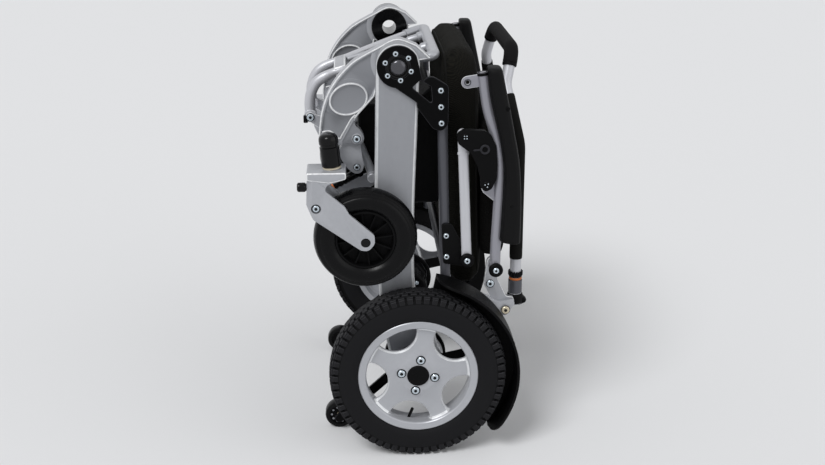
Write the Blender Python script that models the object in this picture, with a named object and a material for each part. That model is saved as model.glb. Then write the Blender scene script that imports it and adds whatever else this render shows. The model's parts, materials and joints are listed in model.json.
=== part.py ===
# Folding power wheelchair, folded and standing on its rear wheels.
# Metres, +Z up. X runs from the caster side to the push bar side, Y across the chair.
# The left side of the chair is at -Y. Left pieces are built and right ones mirrored.
import math

import bpy
import bmesh
from mathutils import Matrix, Vector

# Clearances
TOUCH_GAP = 0.0003
PIN_GAP = 0.0003
RUN_GAP = 0.0015

# Rear wheels
WHEEL_RADIUS = 0.1585
TYRE_WIDTH = 0.050
WHEEL_PLANE = 0.262
RIM_RADIUS = 0.107
RIM_WIDTH = 0.044
RIM_WALL = 0.006
RIM_DISC = 0.008
RIM_DISH = 0.010
RIM_OPENINGS = 5
RIM_OPENING_TURN = 45.0
RIM_OPENING_OUTER = 0.087
RIM_OPENING_INNER = 0.045
RIM_OPENING_SPAN = 23.0
RIM_BOSS_RADIUS = 0.038
WHEEL_SHAFT_RADIUS = 0.015

# Drive motors
MOTOR_RADIUS = 0.047
MOTOR_LENGTH = 0.088
MOTOR_FINS = 1
MOTOR_FIN_DEPTH = 0.003

# Main pivot, where front frame, rear frame and seat turn about one axis
HUB_X = -0.0315
HUB_Z = 0.706
HUB_BUSH_RADIUS = 0.020
HUB_BORE_RADIUS = 0.0135
HUB_FLANGE_RADIUS = 0.035
HUB_FLANGE_THICK = 0.0055
HUB_CAP_RADIUS = 0.0125

# Rear arms, box section castings
REAR_ARM_OUTER = 0.232
REAR_ARM_THICK = 0.040
REAR_ARM_HEAD = 0.0365
REAR_ARM_FOOT = 0.051
REAR_ARM_WEB = 0.008
REAR_ARM_WALL = 0.007
REAR_ARM_CHAMFER = 0.0035
REAR_ARM_POCKET_LOW = 0.360
REAR_ARM_POCKETS = 4
REAR_ARM_RIB = 0.008
REAR_ARM_FRONT_X = -0.072
REAR_ARM_BACK_X = -0.004
REAR_TUBE_RADIUS = 0.0125
REAR_TUBE_X = -0.036
REAR_TUBE_Z = 0.330

# Front arms, curved castings
FRONT_ARM_THICK = 0.024
FRONT_ARM_HEAD = 0.0385
FRONT_ARM_RECESS = 0.003
FRONT_TUBE_RADIUS = 0.011
FRONT_TUBE_X = -0.1465
FRONT_TUBE_Z = 0.5620
FRONT_ARM_STEP = 0.002
RING_X = -0.1145
RING_Z = 0.6420
RING_LONG = 0.0345
RING_SHORT = 0.0280
RING_BAND = 0.0040
RING_TILT = 22.0
LUG_BOLT_X = -0.1015
LUG_BOLT_Z = 0.5720
LUG_SEAT_RADIUS = 0.0092
STOP_END_X = -0.0755
STOP_END_Z = 0.4990
STOP_BAR_WIDTH = 0.013
STOP_BAR_THICK = 0.008
STOP_BUMPER_RADIUS = 0.0085
WEDGE_PLANE = 0.1480
WEDGE_THICK = 0.0045
PADDLE_THICK = 0.010
PADDLE_OUTER = 0.182
DAMPER_RADIUS = 0.0080
DAMPER_TOP_X = -0.0935
DAMPER_TOP_Z = 0.5070
DAMPER_END_X = -0.1525
DAMPER_END_Z = 0.4745
DAMPER_PLANE = 0.1615

# Casters
CASTER_PLANE = 0.262
CASTER_AXLE_X = -0.0900
CASTER_AXLE_Z = 0.4180
CASTER_RADIUS = 0.0890
CASTER_WIDTH = 0.046
CASTER_RIM_RADIUS = 0.052
CASTER_RIM_WIDTH = 0.034
CASTER_HUB_RADIUS = 0.016
CASTER_RIBS = 6
CASTER_RIB_THICK = 0.0025
CASTER_AXLE_RADIUS = 0.005
STEM_X = -0.1440
STEM_Z = 0.5420
STEM_LEAN = 5.8
STEM_RADIUS = 0.0165
STEM_LENGTH = 0.056
FORK_OUTER_PLATE = 0.006
FORK_INNER_PLATE = 0.004
YOKE_THICK = 0.013
FORK_BEVEL = 0.009
FORK_STEP = 0.0012
FORK_KNOB_RADIUS = 0.0080
FORK_KNOB_END_X = -0.2027
FORK_KNOB_PLANE = 0.2805
FORK_KNOB_Z = 0.5150

# Footrest
FOOT_PIVOT_X = -0.1845
FOOT_PIVOT_Z = 0.5815
FOOT_PIVOT_HALF = 0.050
FOOT_RAIL_RADIUS = 0.0098
FOOT_LOOP_RADIUS = 0.0065
FOOT_BLOCK_X = -0.128
FOOT_BLOCK_Z = 0.6635
FOOT_BLOCK_LONG = 0.016
FOOT_BLOCK_THICK = 0.017
FOOT_BLOCK_LEAN = 16.0
FOOT_END_X = 0.034
FOOT_END_Z = 0.7060
FOOT_END_HALF = 0.147
FOOT_CAST_X = 0.0475
FOOT_CAST_DEEP = 0.030
FOOT_CAST_THICK = 0.020
FOOT_CAST_CORNER = 0.026
FOOT_CAST_LEAN = 12.0
FOOT_ROD_RADIUS = 0.005
FOOT_ROD_NEAR_HALF = 0.036
FOOT_ROD_FAR_HALF = 0.058
FOOT_FINGER_RADIUS = 0.0075
FOOT_FINGER_LONG = 0.032
FOOT_EAR_THICK = 0.006
FOOT_PIN_RADIUS = 0.004

# Seat frame
SEAT_TUBE_RADIUS = 0.009
SEAT_TOP_X = 0.0415
SEAT_TOP_Z = 0.694
SEAT_BOTTOM_X = 0.0520
SEAT_BOTTOM_Z = 0.305
BRACKET_THICK = 0.006
BRACKET_HEAD = 0.0355
SEAT_CROSS_RADIUS = 0.009
SEAT_CROSS_HIGH_Z = 0.600
SEAT_CROSS_LOW_Z = 0.350
SEAT_HALF_WIDTH = 0.188
SEAT_THICK = 0.056
SEAT_EDGE = 0.012
SEAT_LOW_Z = 0.292
SEAT_HIGH_Z = 0.722
SEAT_CORNER = 0.062

# Back frame
BACK_PIVOT_X = 0.160
BACK_PIVOT_Z = 0.262
BACK_PIN_RADIUS = 0.005
BACK_PLANE = 0.200
BACK_TUBE_RADIUS = 0.010
BACK_LEG_X = 0.181
BACK_LEG_Z = 0.284
BACK_NARROW = 0.125
GRIP_RADIUS = 0.0128
GRIP_START_Z = 0.6870
BACK_BEND = 0.040
BACK_STRAIGHT_Z = 0.560
BACK_SHOULDER_X = 0.161
BACK_SHOULDER_HALF = 0.143
BACK_SHOULDER_Z = 0.655
BACK_TOP_X = 0.174
BACK_TOP_Z = 0.712
BACK_CUSHION_FRONT_X = 0.1205
BACK_CUSHION_THICK = 0.0395
BACK_CUSHION_LOW_Z = 0.345
BACK_CUSHION_HIGH_Z = 0.600
BACK_BAR_RADIUS = 0.008
BACK_BAR_Z = 0.420
BACK_CASTING_THICK = 0.0095
SOCKET_RADIUS = 0.0145
SOCKET_LENGTH = 0.028
WING_END_X = 0.2028

# Armrests
ARM_PLANE = 0.245
ARM_TUBE_RADIUS = 0.0093
ARM_PIVOT_X = 0.137
ARM_PIVOT_Z = 0.350
ARM_PIN_RADIUS = 0.004
KNOB_RADIUS = 0.0125
KNOB_THICK = 0.007
LINK_PIVOT_X = 0.087
LINK_PIVOT_Z = 0.366
LINK_TOP_X = 0.0765
LINK_TOP_Z = 0.592
LINK_WIDTH = 0.0175
LINK_THICK = 0.0075
LINK_PLATE_THICK = 0.005
ARM_BRACKET_WALL = 0.004
PAD_WIDTH = 0.046
EAR_THICK = 0.003
EAR_RADIUS = 0.0105
EAR_X = 0.083
EAR_Z = 0.681

# Fenders and anti-tip wheels
FENDER_INNER = 0.1790
FENDER_THICK = 0.0025
FENDER_START = 79.0
FENDER_END = -43.0
FENDER_EDGE = 0.291
FENDER_SKIRT = 0.014
FENDER_PLATE = 0.0025
FENDER_STAY_ANGLE = 12.0
FENDER_STAY_WIDTH = 0.022
TIP_WHEEL_X = -0.143
TIP_WHEEL_RADIUS = 0.0270
TIP_WHEEL_WIDTH = 0.022
TIP_WHEEL_PLANE = 0.166
TIP_ARM_THICK = 0.006
TIP_ARM_HALF = 0.0085
TIP_PIN_RADIUS = 0.004
TIP_RING_WALL = 0.009

# Battery and controls
BATTERY_FRONT_X = -0.098
BATTERY_BACK_X = 0.046
BATTERY_STEP_X = 0.033
BATTERY_HALF_WIDTH = 0.140
BATTERY_LOW_Z = 0.437
BATTERY_STEP_Z = 0.585
BATTERY_HIGH_Z = 0.622
BATTERY_PEAK_Z = 0.6545
BATTERY_RAIL = 0.012

WHEEL_STEPS = 28
ROUND_STEPS = 20
TUBE_STEPS = 14
SMALL_STEPS = 12
ARC_STEPS = 3

# Places that follow from the sizes above
AXLE_Z = WHEEL_RADIUS
REAR_ARM_INNER = REAR_ARM_OUTER - REAR_ARM_THICK
FRONT_ARM_OUTER = REAR_ARM_INNER - 0.002
FRONT_ARM_INNER = FRONT_ARM_OUTER - FRONT_ARM_THICK
BRACKET_INNER = REAR_ARM_OUTER + TOUCH_GAP
BRACKET_OUTER = BRACKET_INNER + BRACKET_THICK
SEAT_TUBE_PLANE = REAR_ARM_OUTER - SEAT_TUBE_RADIUS
STEM_TILT = math.radians(STEM_LEAN)
CASTER_OUTER = CASTER_PLANE + CASTER_WIDTH / 2
CASTER_INNER = CASTER_PLANE - CASTER_WIDTH / 2
TIP_WHEEL_Z = TIP_WHEEL_RADIUS
SEAT_HINGE_OUTER = SEAT_TUBE_PLANE + 0.0065
SEAT_HINGE_INNER = SEAT_HINGE_OUTER - 0.008
BACK_CASTING_OUTER = SEAT_HINGE_INNER - TOUCH_GAP
BACK_CASTING_INNER = BACK_CASTING_OUTER - BACK_CASTING_THICK


# Scene, materials and placing

def clear_scene():
    for old in list(bpy.data.objects):
        bpy.data.objects.remove(old, do_unlink=True)


def finish(name, colour, roughness, metallic):
    material = bpy.data.materials.new(name)
    material.use_nodes = True
    shader = material.node_tree.nodes["Principled BSDF"]
    shader.inputs["Base Color"].default_value = (*colour, 1.0)
    shader.inputs["Roughness"].default_value = roughness
    shader.inputs["Metallic"].default_value = metallic
    return material


FINISHES = {
    "silver": ((0.50, 0.51, 0.54), 0.38, 0.75),
    "polished": ((0.72, 0.73, 0.75), 0.22, 0.95),
    "graphite": ((0.13, 0.13, 0.15), 0.38, 0.70),
    "black": ((0.012, 0.012, 0.014), 0.42, 0.10),
    "rubber": ((0.016, 0.016, 0.017), 0.75, 0.0),
    "fabric": ((0.018, 0.018, 0.018), 0.92, 0.0),
    "wheel": ((0.48, 0.49, 0.52), 0.32, 0.80),
}


def pivot(name, x, y, z, parent=None):
    empty = bpy.data.objects.new(name, None)
    bpy.context.collection.objects.link(empty)
    place = Vector((x, y, z))
    if parent is not None:
        empty.parent = parent
        place = place - world_place(parent)
    empty.location = place
    return empty


def world_place(item):
    place = item.location.copy()
    while item.parent is not None:
        item = item.parent
        place = place + item.location
    return place


def place_piece(name, mesh, look, parent):
    anchor = world_place(parent)
    mesh.transform(Matrix.Translation(-anchor))
    mesh.name = name
    piece = bpy.data.objects.new(name, mesh)
    bpy.context.collection.objects.link(piece)
    piece.parent = parent
    colour, roughness, metallic = FINISHES[look]
    mesh.materials.clear()
    mesh.materials.append(finish(name + "_finish", colour, roughness, metallic))
    mesh.shade_smooth()
    mesh.set_sharp_from_angle(angle=math.radians(35))
    return piece


def place_pair(name, mesh, look, left_parent, right_parent):
    mirrored = mesh.copy()
    mirrored.transform(Matrix.Scale(-1.0, 4, Vector((0.0, 1.0, 0.0))))
    mirrored.flip_normals()
    place_piece(name + "_left", mesh, look, left_parent)
    place_piece(name + "_right", mirrored, look, right_parent)


# Outlines in the XZ plane

def polar(x, z, radius, degrees):
    turn = math.radians(degrees)
    return (x + radius * math.cos(turn), z + radius * math.sin(turn))


def arc(x, z, radius, start, end, steps):
    return [polar(x, z, radius, start + (end - start) * i / steps) for i in range(steps + 1)]


def oval(x, z, long_radius, short_radius, tilt, steps):
    points = []
    turn = math.radians(tilt)
    for i in range(steps):
        a = 2 * math.pi * i / steps
        u = long_radius * math.cos(a)
        v = short_radius * math.sin(a)
        points.append((x + u * math.cos(turn) - v * math.sin(turn),
                       z + u * math.sin(turn) + v * math.cos(turn)))
    return points


def rounded(corners, steps=ARC_STEPS):
    """Closed outline with a fillet at each corner (x, z, radius)."""
    points = []
    count = len(corners)
    for i in range(count):
        x, z, radius = corners[i]
        here = Vector((x, z))
        before = Vector(corners[i - 1][:2]) - here
        after = Vector(corners[(i + 1) % count][:2]) - here
        if radius <= 0.0:
            points.append((x, z))
            continue
        half = before.angle(after) / 2
        reach = min(radius / math.tan(half), before.length * 0.49, after.length * 0.49)
        radius = reach * math.tan(half)
        middle = here + (before.normalized() + after.normalized()).normalized() * (radius / math.sin(half))
        start = here + before.normalized() * reach - middle
        sweep = start.angle_signed(here + after.normalized() * reach - middle)
        for k in range(steps + 1):
            turn = -sweep * k / steps
            points.append((middle.x + start.x * math.cos(turn) - start.y * math.sin(turn),
                           middle.y + start.x * math.sin(turn) + start.y * math.cos(turn)))
    return points


def slot(x0, z0, x1, z1, radius, steps=5):
    """Outline of a bar with round ends."""
    turn = math.degrees(math.atan2(z1 - z0, x1 - x0))
    return (arc(x1, z1, radius, turn - 90, turn + 90, steps)
            + arc(x0, z0, radius, turn + 90, turn + 270, steps))


def smooth(points, steps=4):
    """Points on a smooth open curve through the given ones."""
    path = [Vector(p) for p in points]
    result = []
    for i in range(len(path) - 1):
        p0 = path[max(i - 1, 0)]
        p1 = path[i]
        p2 = path[i + 1]
        p3 = path[min(i + 2, len(path) - 1)]
        for k in range(steps):
            t = k / steps
            result.append(0.5 * (2 * p1 + (p2 - p0) * t + (2 * p0 - 5 * p1 + 4 * p2 - p3) * t * t
                                 + (3 * p1 - p0 - 3 * p2 + p3) * t * t * t))
    result.append(path[-1])
    return [tuple(p) for p in result]


def bent(points, radius, steps=5):
    """Tube route with rounded corners."""
    path = [Vector(p) for p in points]
    result = [path[0]]
    for i in range(1, len(path) - 1):
        before = path[i - 1] - path[i]
        after = path[i + 1] - path[i]
        half = before.angle(after) / 2
        reach = min(radius / math.tan(half), before.length * 0.49, after.length * 0.49)
        start = path[i] + before.normalized() * reach
        end = path[i] + after.normalized() * reach
        for k in range(steps + 1):
            t = k / steps
            result.append((1 - t) ** 2 * start + 2 * t * (1 - t) * path[i] + t * t * end)
    result.append(path[-1])
    return result


# Solids

def to_mesh(form, name="solid"):
    bmesh.ops.recalc_face_normals(form, faces=form.faces)
    mesh = bpy.data.meshes.new(name)
    form.to_mesh(mesh)
    form.free()
    return mesh


def plate(outline, y0, y1, chamfer=0.0, chamfer_sides="both", segments=1):
    """Outline in XZ pushed through from y0 to y1, with bevelled rims."""
    form = bmesh.new()
    low, high = min(y0, y1), max(y0, y1)
    ring_low = [form.verts.new((x, low, z)) for x, z in outline]
    face = form.faces.new(ring_low)
    pushed = bmesh.ops.extrude_face_region(form, geom=[face])
    moved = [v for v in pushed["geom"] if isinstance(v, bmesh.types.BMVert)]
    bmesh.ops.translate(form, verts=moved, vec=(0.0, high - low, 0.0))
    if chamfer > 0.0:
        rims = []
        for edge in form.edges:
            ys = [v.co.y for v in edge.verts]
            if abs(ys[0] - ys[1]) > 1e-7:
                continue
            at_low = abs(ys[0] - low) < 1e-7
            outer = at_low if y0 < 0 or y1 < 0 else not at_low
            if chamfer_sides == "both" or outer:
                rims.append(edge)
        bmesh.ops.bevel(form, geom=rims, offset=chamfer, segments=segments, affect="EDGES",
                        clamp_overlap=True)
    return to_mesh(form)


def block(x0, x1, y0, y1, z0, z1, chamfer=0.0, segments=2):
    form = bmesh.new()
    bmesh.ops.create_cube(form, size=1.0)
    for v in form.verts:
        v.co.x = x0 if v.co.x < 0 else x1
        v.co.y = y0 if v.co.y < 0 else y1
        v.co.z = z0 if v.co.z < 0 else z1
    if chamfer > 0.0:
        bmesh.ops.bevel(form, geom=form.edges[:], offset=chamfer, segments=segments,
                        profile=0.7, affect="EDGES", clamp_overlap=True)
    return to_mesh(form)


def turned(profile, x, z, steps=ROUND_STEPS):
    """Profile of (radius, y) turned about a line along Y through (x, z)."""
    form = bmesh.new()
    rows = []
    for radius, y in profile:
        if radius < 1e-7:
            rows.append([form.verts.new((x, y, z))])
        else:
            rows.append([form.verts.new((x + radius * math.sin(2 * math.pi * i / steps), y,
                                         z - radius * math.cos(2 * math.pi * i / steps)))
                         for i in range(steps)])
    closed = profile[0][0] > 1e-7
    pairs = len(rows) if closed else len(rows) - 1
    for k in range(pairs):
        a = rows[k]
        b = rows[(k + 1) % len(rows)]
        for i in range(steps):
            j = (i + 1) % steps
            if len(a) == 1:
                form.faces.new((a[0], b[i], b[j]))
            elif len(b) == 1:
                form.faces.new((a[i], a[j], b[0]))
            else:
                form.faces.new((a[i], a[j], b[j], b[i]))
    return to_mesh(form)


def cylinder(x, z, radius, y0, y1, steps=SMALL_STEPS):
    return turned([(0.0, y0), (radius, y0), (radius, y1), (0.0, y1)], x, z, steps)


def ring(x, z, outer, inner, y0, y1, steps=ROUND_STEPS):
    return turned([(outer, y0), (outer, y1), (inner, y1), (inner, y0)], x, z, steps)


def rod(start, end, radius, steps=SMALL_STEPS):
    return tube([start, end], radius, steps)


def tube(path, radius, steps=TUBE_STEPS, flat=1.0):
    """Round or oval bar swept along a path; flat scales it across Y."""
    path = [Vector(p) for p in path]
    form = bmesh.new()
    rows = []
    side = None
    for i, here in enumerate(path):
        ahead = path[min(i + 1, len(path) - 1)] - path[max(i - 1, 0)]
        ahead.normalize()
        if side is None:
            side = Vector((0.0, 1.0, 0.0))
            if abs(ahead.dot(side)) > 0.9:
                side = Vector((1.0, 0.0, 0.0))
        side = (side - ahead * side.dot(ahead)).normalized()
        other = ahead.cross(side)
        size = radius(here) if callable(radius) else radius
        row = []
        for k in range(steps):
            a = 2 * math.pi * (k + 0.5) / steps
            row.append(form.verts.new(here + side * (size * flat * math.cos(a)) + other * (size * math.sin(a))))
        rows.append(row)
    for a, b in zip(rows, rows[1:]):
        for k in range(steps):
            j = (k + 1) % steps
            form.faces.new((a[k], a[j], b[j], b[k]))
    form.faces.new(rows[0])
    form.faces.new(rows[-1])
    return to_mesh(form)


def combined(base, adds=(), cuts=()):
    """One solid: base with others joined to it and then others cut away."""
    helpers = []
    body = bpy.data.objects.new("body", base)
    bpy.context.collection.objects.link(body)
    for operation, group in (("UNION", adds), ("DIFFERENCE", cuts)):
        for mesh in group:
            helper = bpy.data.objects.new("helper", mesh)
            bpy.context.collection.objects.link(helper)
            helpers.append(helper)
            step = body.modifiers.new(operation.lower(), "BOOLEAN")
            step.operation = operation
            step.solver = "EXACT"
            step.object = helper
    bpy.context.view_layer.update()
    graph = bpy.context.evaluated_depsgraph_get()
    result = bpy.data.meshes.new_from_object(body.evaluated_get(graph))
    bpy.data.objects.remove(body, do_unlink=True)
    for helper in helpers:
        bpy.data.objects.remove(helper, do_unlink=True)
    return result


def slab(outline, z0, z1, chamfer):
    """Outline in XY pushed through from z0 to z1."""
    mesh = plate(outline, z0, z1, chamfer)
    mesh.transform(Matrix(((1, 0, 0, 0), (0, 0, 1, 0), (0, 1, 0, 0), (0, 0, 0, 1))))
    mesh.flip_normals()
    return mesh


def leaned(mesh, x, y, z, angle):
    """Mesh turned about a line along Y through (x, z)."""
    spot = Vector((x, y, z))
    mesh.transform(Matrix.Translation(spot) @ Matrix.Rotation(angle, 4, "Y") @ Matrix.Translation(-spot))
    return mesh


# Rear wheels, on the left side

def make_tyre():
    half = TYRE_WIDTH / 2
    bead = RIM_RADIUS + TOUCH_GAP
    shoulder = WHEEL_RADIUS - 0.010
    y = -WHEEL_PLANE
    profile = [(bead, y - half * 0.84), (bead + 0.022, y - half), (shoulder, y - half * 0.93),
               (WHEEL_RADIUS - 0.002, y - half * 0.55), (WHEEL_RADIUS, y), (WHEEL_RADIUS - 0.002, y + half * 0.55),
               (shoulder, y + half * 0.93), (bead + 0.022, y + half), (bead, y + half * 0.84)]
    return turned(profile, 0.0, AXLE_Z, WHEEL_STEPS)


def rim_opening(turn):
    half = RIM_OPENING_SPAN
    outer = arc(0.0, AXLE_Z, RIM_OPENING_OUTER, turn - half, turn + half, 3)
    inner_left = polar(0.0, AXLE_Z, RIM_OPENING_INNER + 0.012, turn + half * 0.98)
    inner_right = polar(0.0, AXLE_Z, RIM_OPENING_INNER + 0.012, turn - half * 0.98)
    middle = polar(0.0, AXLE_Z, RIM_OPENING_INNER, turn)
    corners = [(p[0], p[1], 0.006) for p in (outer[0],)]
    corners += [(p[0], p[1], 0.0) for p in outer[1:-1]]
    corners += [(outer[-1][0], outer[-1][1], 0.006), (*inner_left, 0.012), (*middle, 0.014), (*inner_right, 0.012)]
    return plate(rounded(corners, 2), -WHEEL_PLANE - 0.040, -WHEEL_PLANE + 0.040)


def make_rim():
    outer_y = -WHEEL_PLANE - RIM_WIDTH / 2
    inner_y = -WHEEL_PLANE + RIM_WIDTH / 2
    disc_y = outer_y + RIM_DISH
    wall = RIM_RADIUS - RIM_WALL
    bore = WHEEL_SHAFT_RADIUS + PIN_GAP
    profile = [(0.0, disc_y - 0.003), (RIM_BOSS_RADIUS - 0.006, disc_y - 0.003), (RIM_BOSS_RADIUS + 0.004, disc_y),
               (wall - 0.009, disc_y), (wall - 0.001, outer_y), (RIM_RADIUS, outer_y), (RIM_RADIUS, inner_y),
               (wall - 0.002, inner_y), (wall - 0.004, disc_y + RIM_DISC), (RIM_BOSS_RADIUS, disc_y + RIM_DISC),
               (RIM_BOSS_RADIUS - 0.004, disc_y + 0.024), (bore, disc_y + 0.024), (bore, disc_y + 0.005),
               (0.0, disc_y + 0.005)]
    body = turned(profile, 0.0, AXLE_Z, WHEEL_STEPS)
    step = 360.0 / RIM_OPENINGS
    cuts = [rim_opening(RIM_OPENING_TURN + step * i) for i in range(RIM_OPENINGS)]
    return combined(body, cuts=cuts)


def make_motor():
    inner = REAR_ARM_INNER - TOUCH_GAP
    start = inner - MOTOR_LENGTH
    pitch = (MOTOR_LENGTH - 0.030) / MOTOR_FINS
    groove = MOTOR_RADIUS - MOTOR_FIN_DEPTH
    profile = [(0.0, -start), (MOTOR_RADIUS - 0.008, -start), (MOTOR_RADIUS - 0.004, -start - 0.004)]
    for i in range(MOTOR_FINS):
        y = -start - 0.006 - pitch * i
        profile += [(MOTOR_RADIUS - 0.002, y), (MOTOR_RADIUS - 0.002, y - pitch * 0.5),
                    (groove, y - pitch * 0.5), (groove, y - pitch)]
    tip_y = TIP_WHEEL_PLANE + TIP_WHEEL_WIDTH / 2 + 0.001
    profile += [(MOTOR_RADIUS, -tip_y + 0.003), (MOTOR_RADIUS, -inner), (WHEEL_SHAFT_RADIUS, -inner),
                (WHEEL_SHAFT_RADIUS, -(WHEEL_PLANE + RIM_WIDTH / 2 - RIM_DISH - 0.006)),
                (0.0, -(WHEEL_PLANE + RIM_WIDTH / 2 - RIM_DISH - 0.006))]
    return turned(profile, 0.0, AXLE_Z)


# Rear frame

def rear_arm_outline():
    head = arc(HUB_X, HUB_Z, REAR_ARM_HEAD, 0, 180, 12)
    foot = arc(0.0, AXLE_Z, REAR_ARM_FOOT, 160, 400, 14)
    return (head + [(REAR_ARM_FRONT_X + 0.001, 0.560), (REAR_ARM_FRONT_X, 0.470), (-0.0665, 0.300), (-0.0600, 0.230)]
            + foot + [(0.0300, 0.225), (0.0060, 0.270), (REAR_ARM_BACK_X, 0.330), (REAR_ARM_BACK_X, 0.470)])


def rib_height(index):
    """Height of a cross rib inside the rear arm, counted from below."""
    top = HUB_Z - REAR_ARM_HEAD - 0.008
    return REAR_ARM_POCKET_LOW + (top - REAR_ARM_POCKET_LOW) * index / REAR_ARM_POCKETS


def arm_pocket(z_low, z_high):
    """Pocket open on the inner face, between two cross ribs."""
    wall = REAR_ARM_WALL
    front = REAR_ARM_FRONT_X + wall + 0.0035
    back = REAR_ARM_BACK_X - wall - 0.0005
    outline = rounded([(front, z_low, 0.006), (back, z_low, 0.006), (back, z_high, 0.006), (front, z_high, 0.006)], 3)
    return plate(outline, -(REAR_ARM_OUTER - REAR_ARM_WEB), -(REAR_ARM_INNER - 0.010))


def make_rear_arm():
    body = plate(rear_arm_outline(), -REAR_ARM_OUTER, -REAR_ARM_INNER, REAR_ARM_CHAMFER, "outer")
    hub_bore = cylinder(HUB_X, HUB_Z, HUB_BUSH_RADIUS + PIN_GAP, -REAR_ARM_OUTER - 0.01, -REAR_ARM_INNER + 0.01, 24)
    axle_bore = cylinder(0.0, AXLE_Z, WHEEL_SHAFT_RADIUS + PIN_GAP, -REAR_ARM_OUTER - 0.01,
                         -REAR_ARM_INNER + 0.01, 24)
    edges = [rib_height(i) for i in range(REAR_ARM_POCKETS + 1)]
    half = REAR_ARM_RIB / 2
    pockets = [arm_pocket(low + half, high - half) for low, high in zip(edges, edges[1:])]
    return combined(body, cuts=[hub_bore, axle_bore] + pockets)


def make_rear_tube():
    reach = REAR_ARM_INNER - TOUCH_GAP
    return cylinder(REAR_TUBE_X, REAR_TUBE_Z, REAR_TUBE_RADIUS, -reach, reach, TUBE_STEPS)


def make_battery():
    """Battery and control box held between the rear arms, stepped to clear the seat's cross tube."""
    outline = rounded([(BATTERY_FRONT_X, BATTERY_LOW_Z, 0.006), (BATTERY_BACK_X, BATTERY_LOW_Z, 0.006),
                       (BATTERY_BACK_X, BATTERY_STEP_Z, 0.004), (BATTERY_STEP_X, BATTERY_STEP_Z + 0.007, 0.004),
                       (BATTERY_STEP_X, BATTERY_PEAK_Z, 0.004), (0.0100, 0.6330, 0.006),
                       (-0.0120, BATTERY_HIGH_Z, 0.006), (BATTERY_FRONT_X, BATTERY_HIGH_Z, 0.006)], 2)
    case = plate(outline, -BATTERY_HALF_WIDTH, BATTERY_HALF_WIDTH, 0.002)
    rail_x = (REAR_ARM_FRONT_X + REAR_ARM_BACK_X) / 2
    reach = REAR_ARM_INNER - TOUCH_GAP
    half = BATTERY_RAIL / 2
    rails = [block(rail_x - half, rail_x + half, -reach, reach, z - half, z + half, 0.001, 1)
             for z in (rib_height(2), rib_height(3))]
    grip = block(BATTERY_FRONT_X - 0.002, BATTERY_FRONT_X + 0.014, -0.050, 0.050,
                 BATTERY_HIGH_Z - 0.052, BATTERY_HIGH_Z - 0.022, 0.003, 1)
    return combined(case, adds=rails, cuts=[grip])


def make_hub_pivot(has_cap):
    """Hollow flanged bush that the front arm, rear arm and seat bracket turn on."""
    flange_in = -(FRONT_ARM_INNER - TOUCH_GAP - HUB_FLANGE_THICK)
    flange_out = -(FRONT_ARM_INNER - TOUCH_GAP)
    end = -(BRACKET_OUTER + 0.001)
    if not has_cap:
        profile = [(HUB_BORE_RADIUS, flange_in), (HUB_FLANGE_RADIUS, flange_in), (HUB_FLANGE_RADIUS, flange_out),
                   (HUB_BUSH_RADIUS, flange_out), (HUB_BUSH_RADIUS, end), (HUB_BORE_RADIUS, end)]
        return turned(profile, HUB_X, HUB_Z, 24)
    dome = [(HUB_BUSH_RADIUS, end), (HUB_CAP_RADIUS + 0.001, end - 0.0015), (HUB_CAP_RADIUS * 0.8, end - 0.004),
            (HUB_CAP_RADIUS * 0.45, end - 0.0055), (0.0, end - 0.006)]
    profile = [(0.0, end + 0.010), (HUB_BORE_RADIUS, end + 0.010), (HUB_BORE_RADIUS, flange_in),
               (HUB_FLANGE_RADIUS, flange_in), (HUB_FLANGE_RADIUS, flange_out), (HUB_BUSH_RADIUS, flange_out)] + dome
    return turned(profile, HUB_X, HUB_Z, 24)


def make_fender():
    """Mudguard shell with an inboard skirt, on a stay from the axle end."""
    outer = FENDER_INNER + FENDER_THICK
    inner_y = -(REAR_ARM_OUTER + TOUCH_GAP)
    plate_y = inner_y - FENDER_PLATE
    steps = 12
    angles = [FENDER_END + (FENDER_START - FENDER_END) * i / steps for i in range(steps + 1)]
    section = [(outer, -FENDER_EDGE), (outer, inner_y), (FENDER_INNER - FENDER_SKIRT, inner_y),
               (FENDER_INNER - FENDER_SKIRT, plate_y), (FENDER_INNER, plate_y), (FENDER_INNER, -FENDER_EDGE)]
    form = bmesh.new()
    rows = []
    for a in angles:
        turn = math.radians(a)
        rows.append([form.verts.new((r * math.cos(turn), y, AXLE_Z + r * math.sin(turn))) for r, y in section])
    for a, b in zip(rows, rows[1:]):
        for k in range(len(section)):
            j = (k + 1) % len(section)
            form.faces.new((a[k], a[j], b[j], b[k]))
    form.faces.new(rows[0])
    form.faces.new(rows[-1])
    shell = to_mesh(form)
    near = polar(0.0, AXLE_Z, 0.034, FENDER_STAY_ANGLE)
    far = polar(0.0, AXLE_Z, FENDER_INNER - FENDER_SKIRT / 2, FENDER_STAY_ANGLE)
    stay = plate(slot(*near, *far, FENDER_STAY_WIDTH / 2), inner_y - 0.0002, plate_y + 0.0001)
    collar = ring(0.0, AXLE_Z, 0.040, WHEEL_SHAFT_RADIUS + 0.003, inner_y, plate_y, 32)
    return combined(shell, adds=[stay, collar])


# Anti-tip arms and wheels

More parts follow.
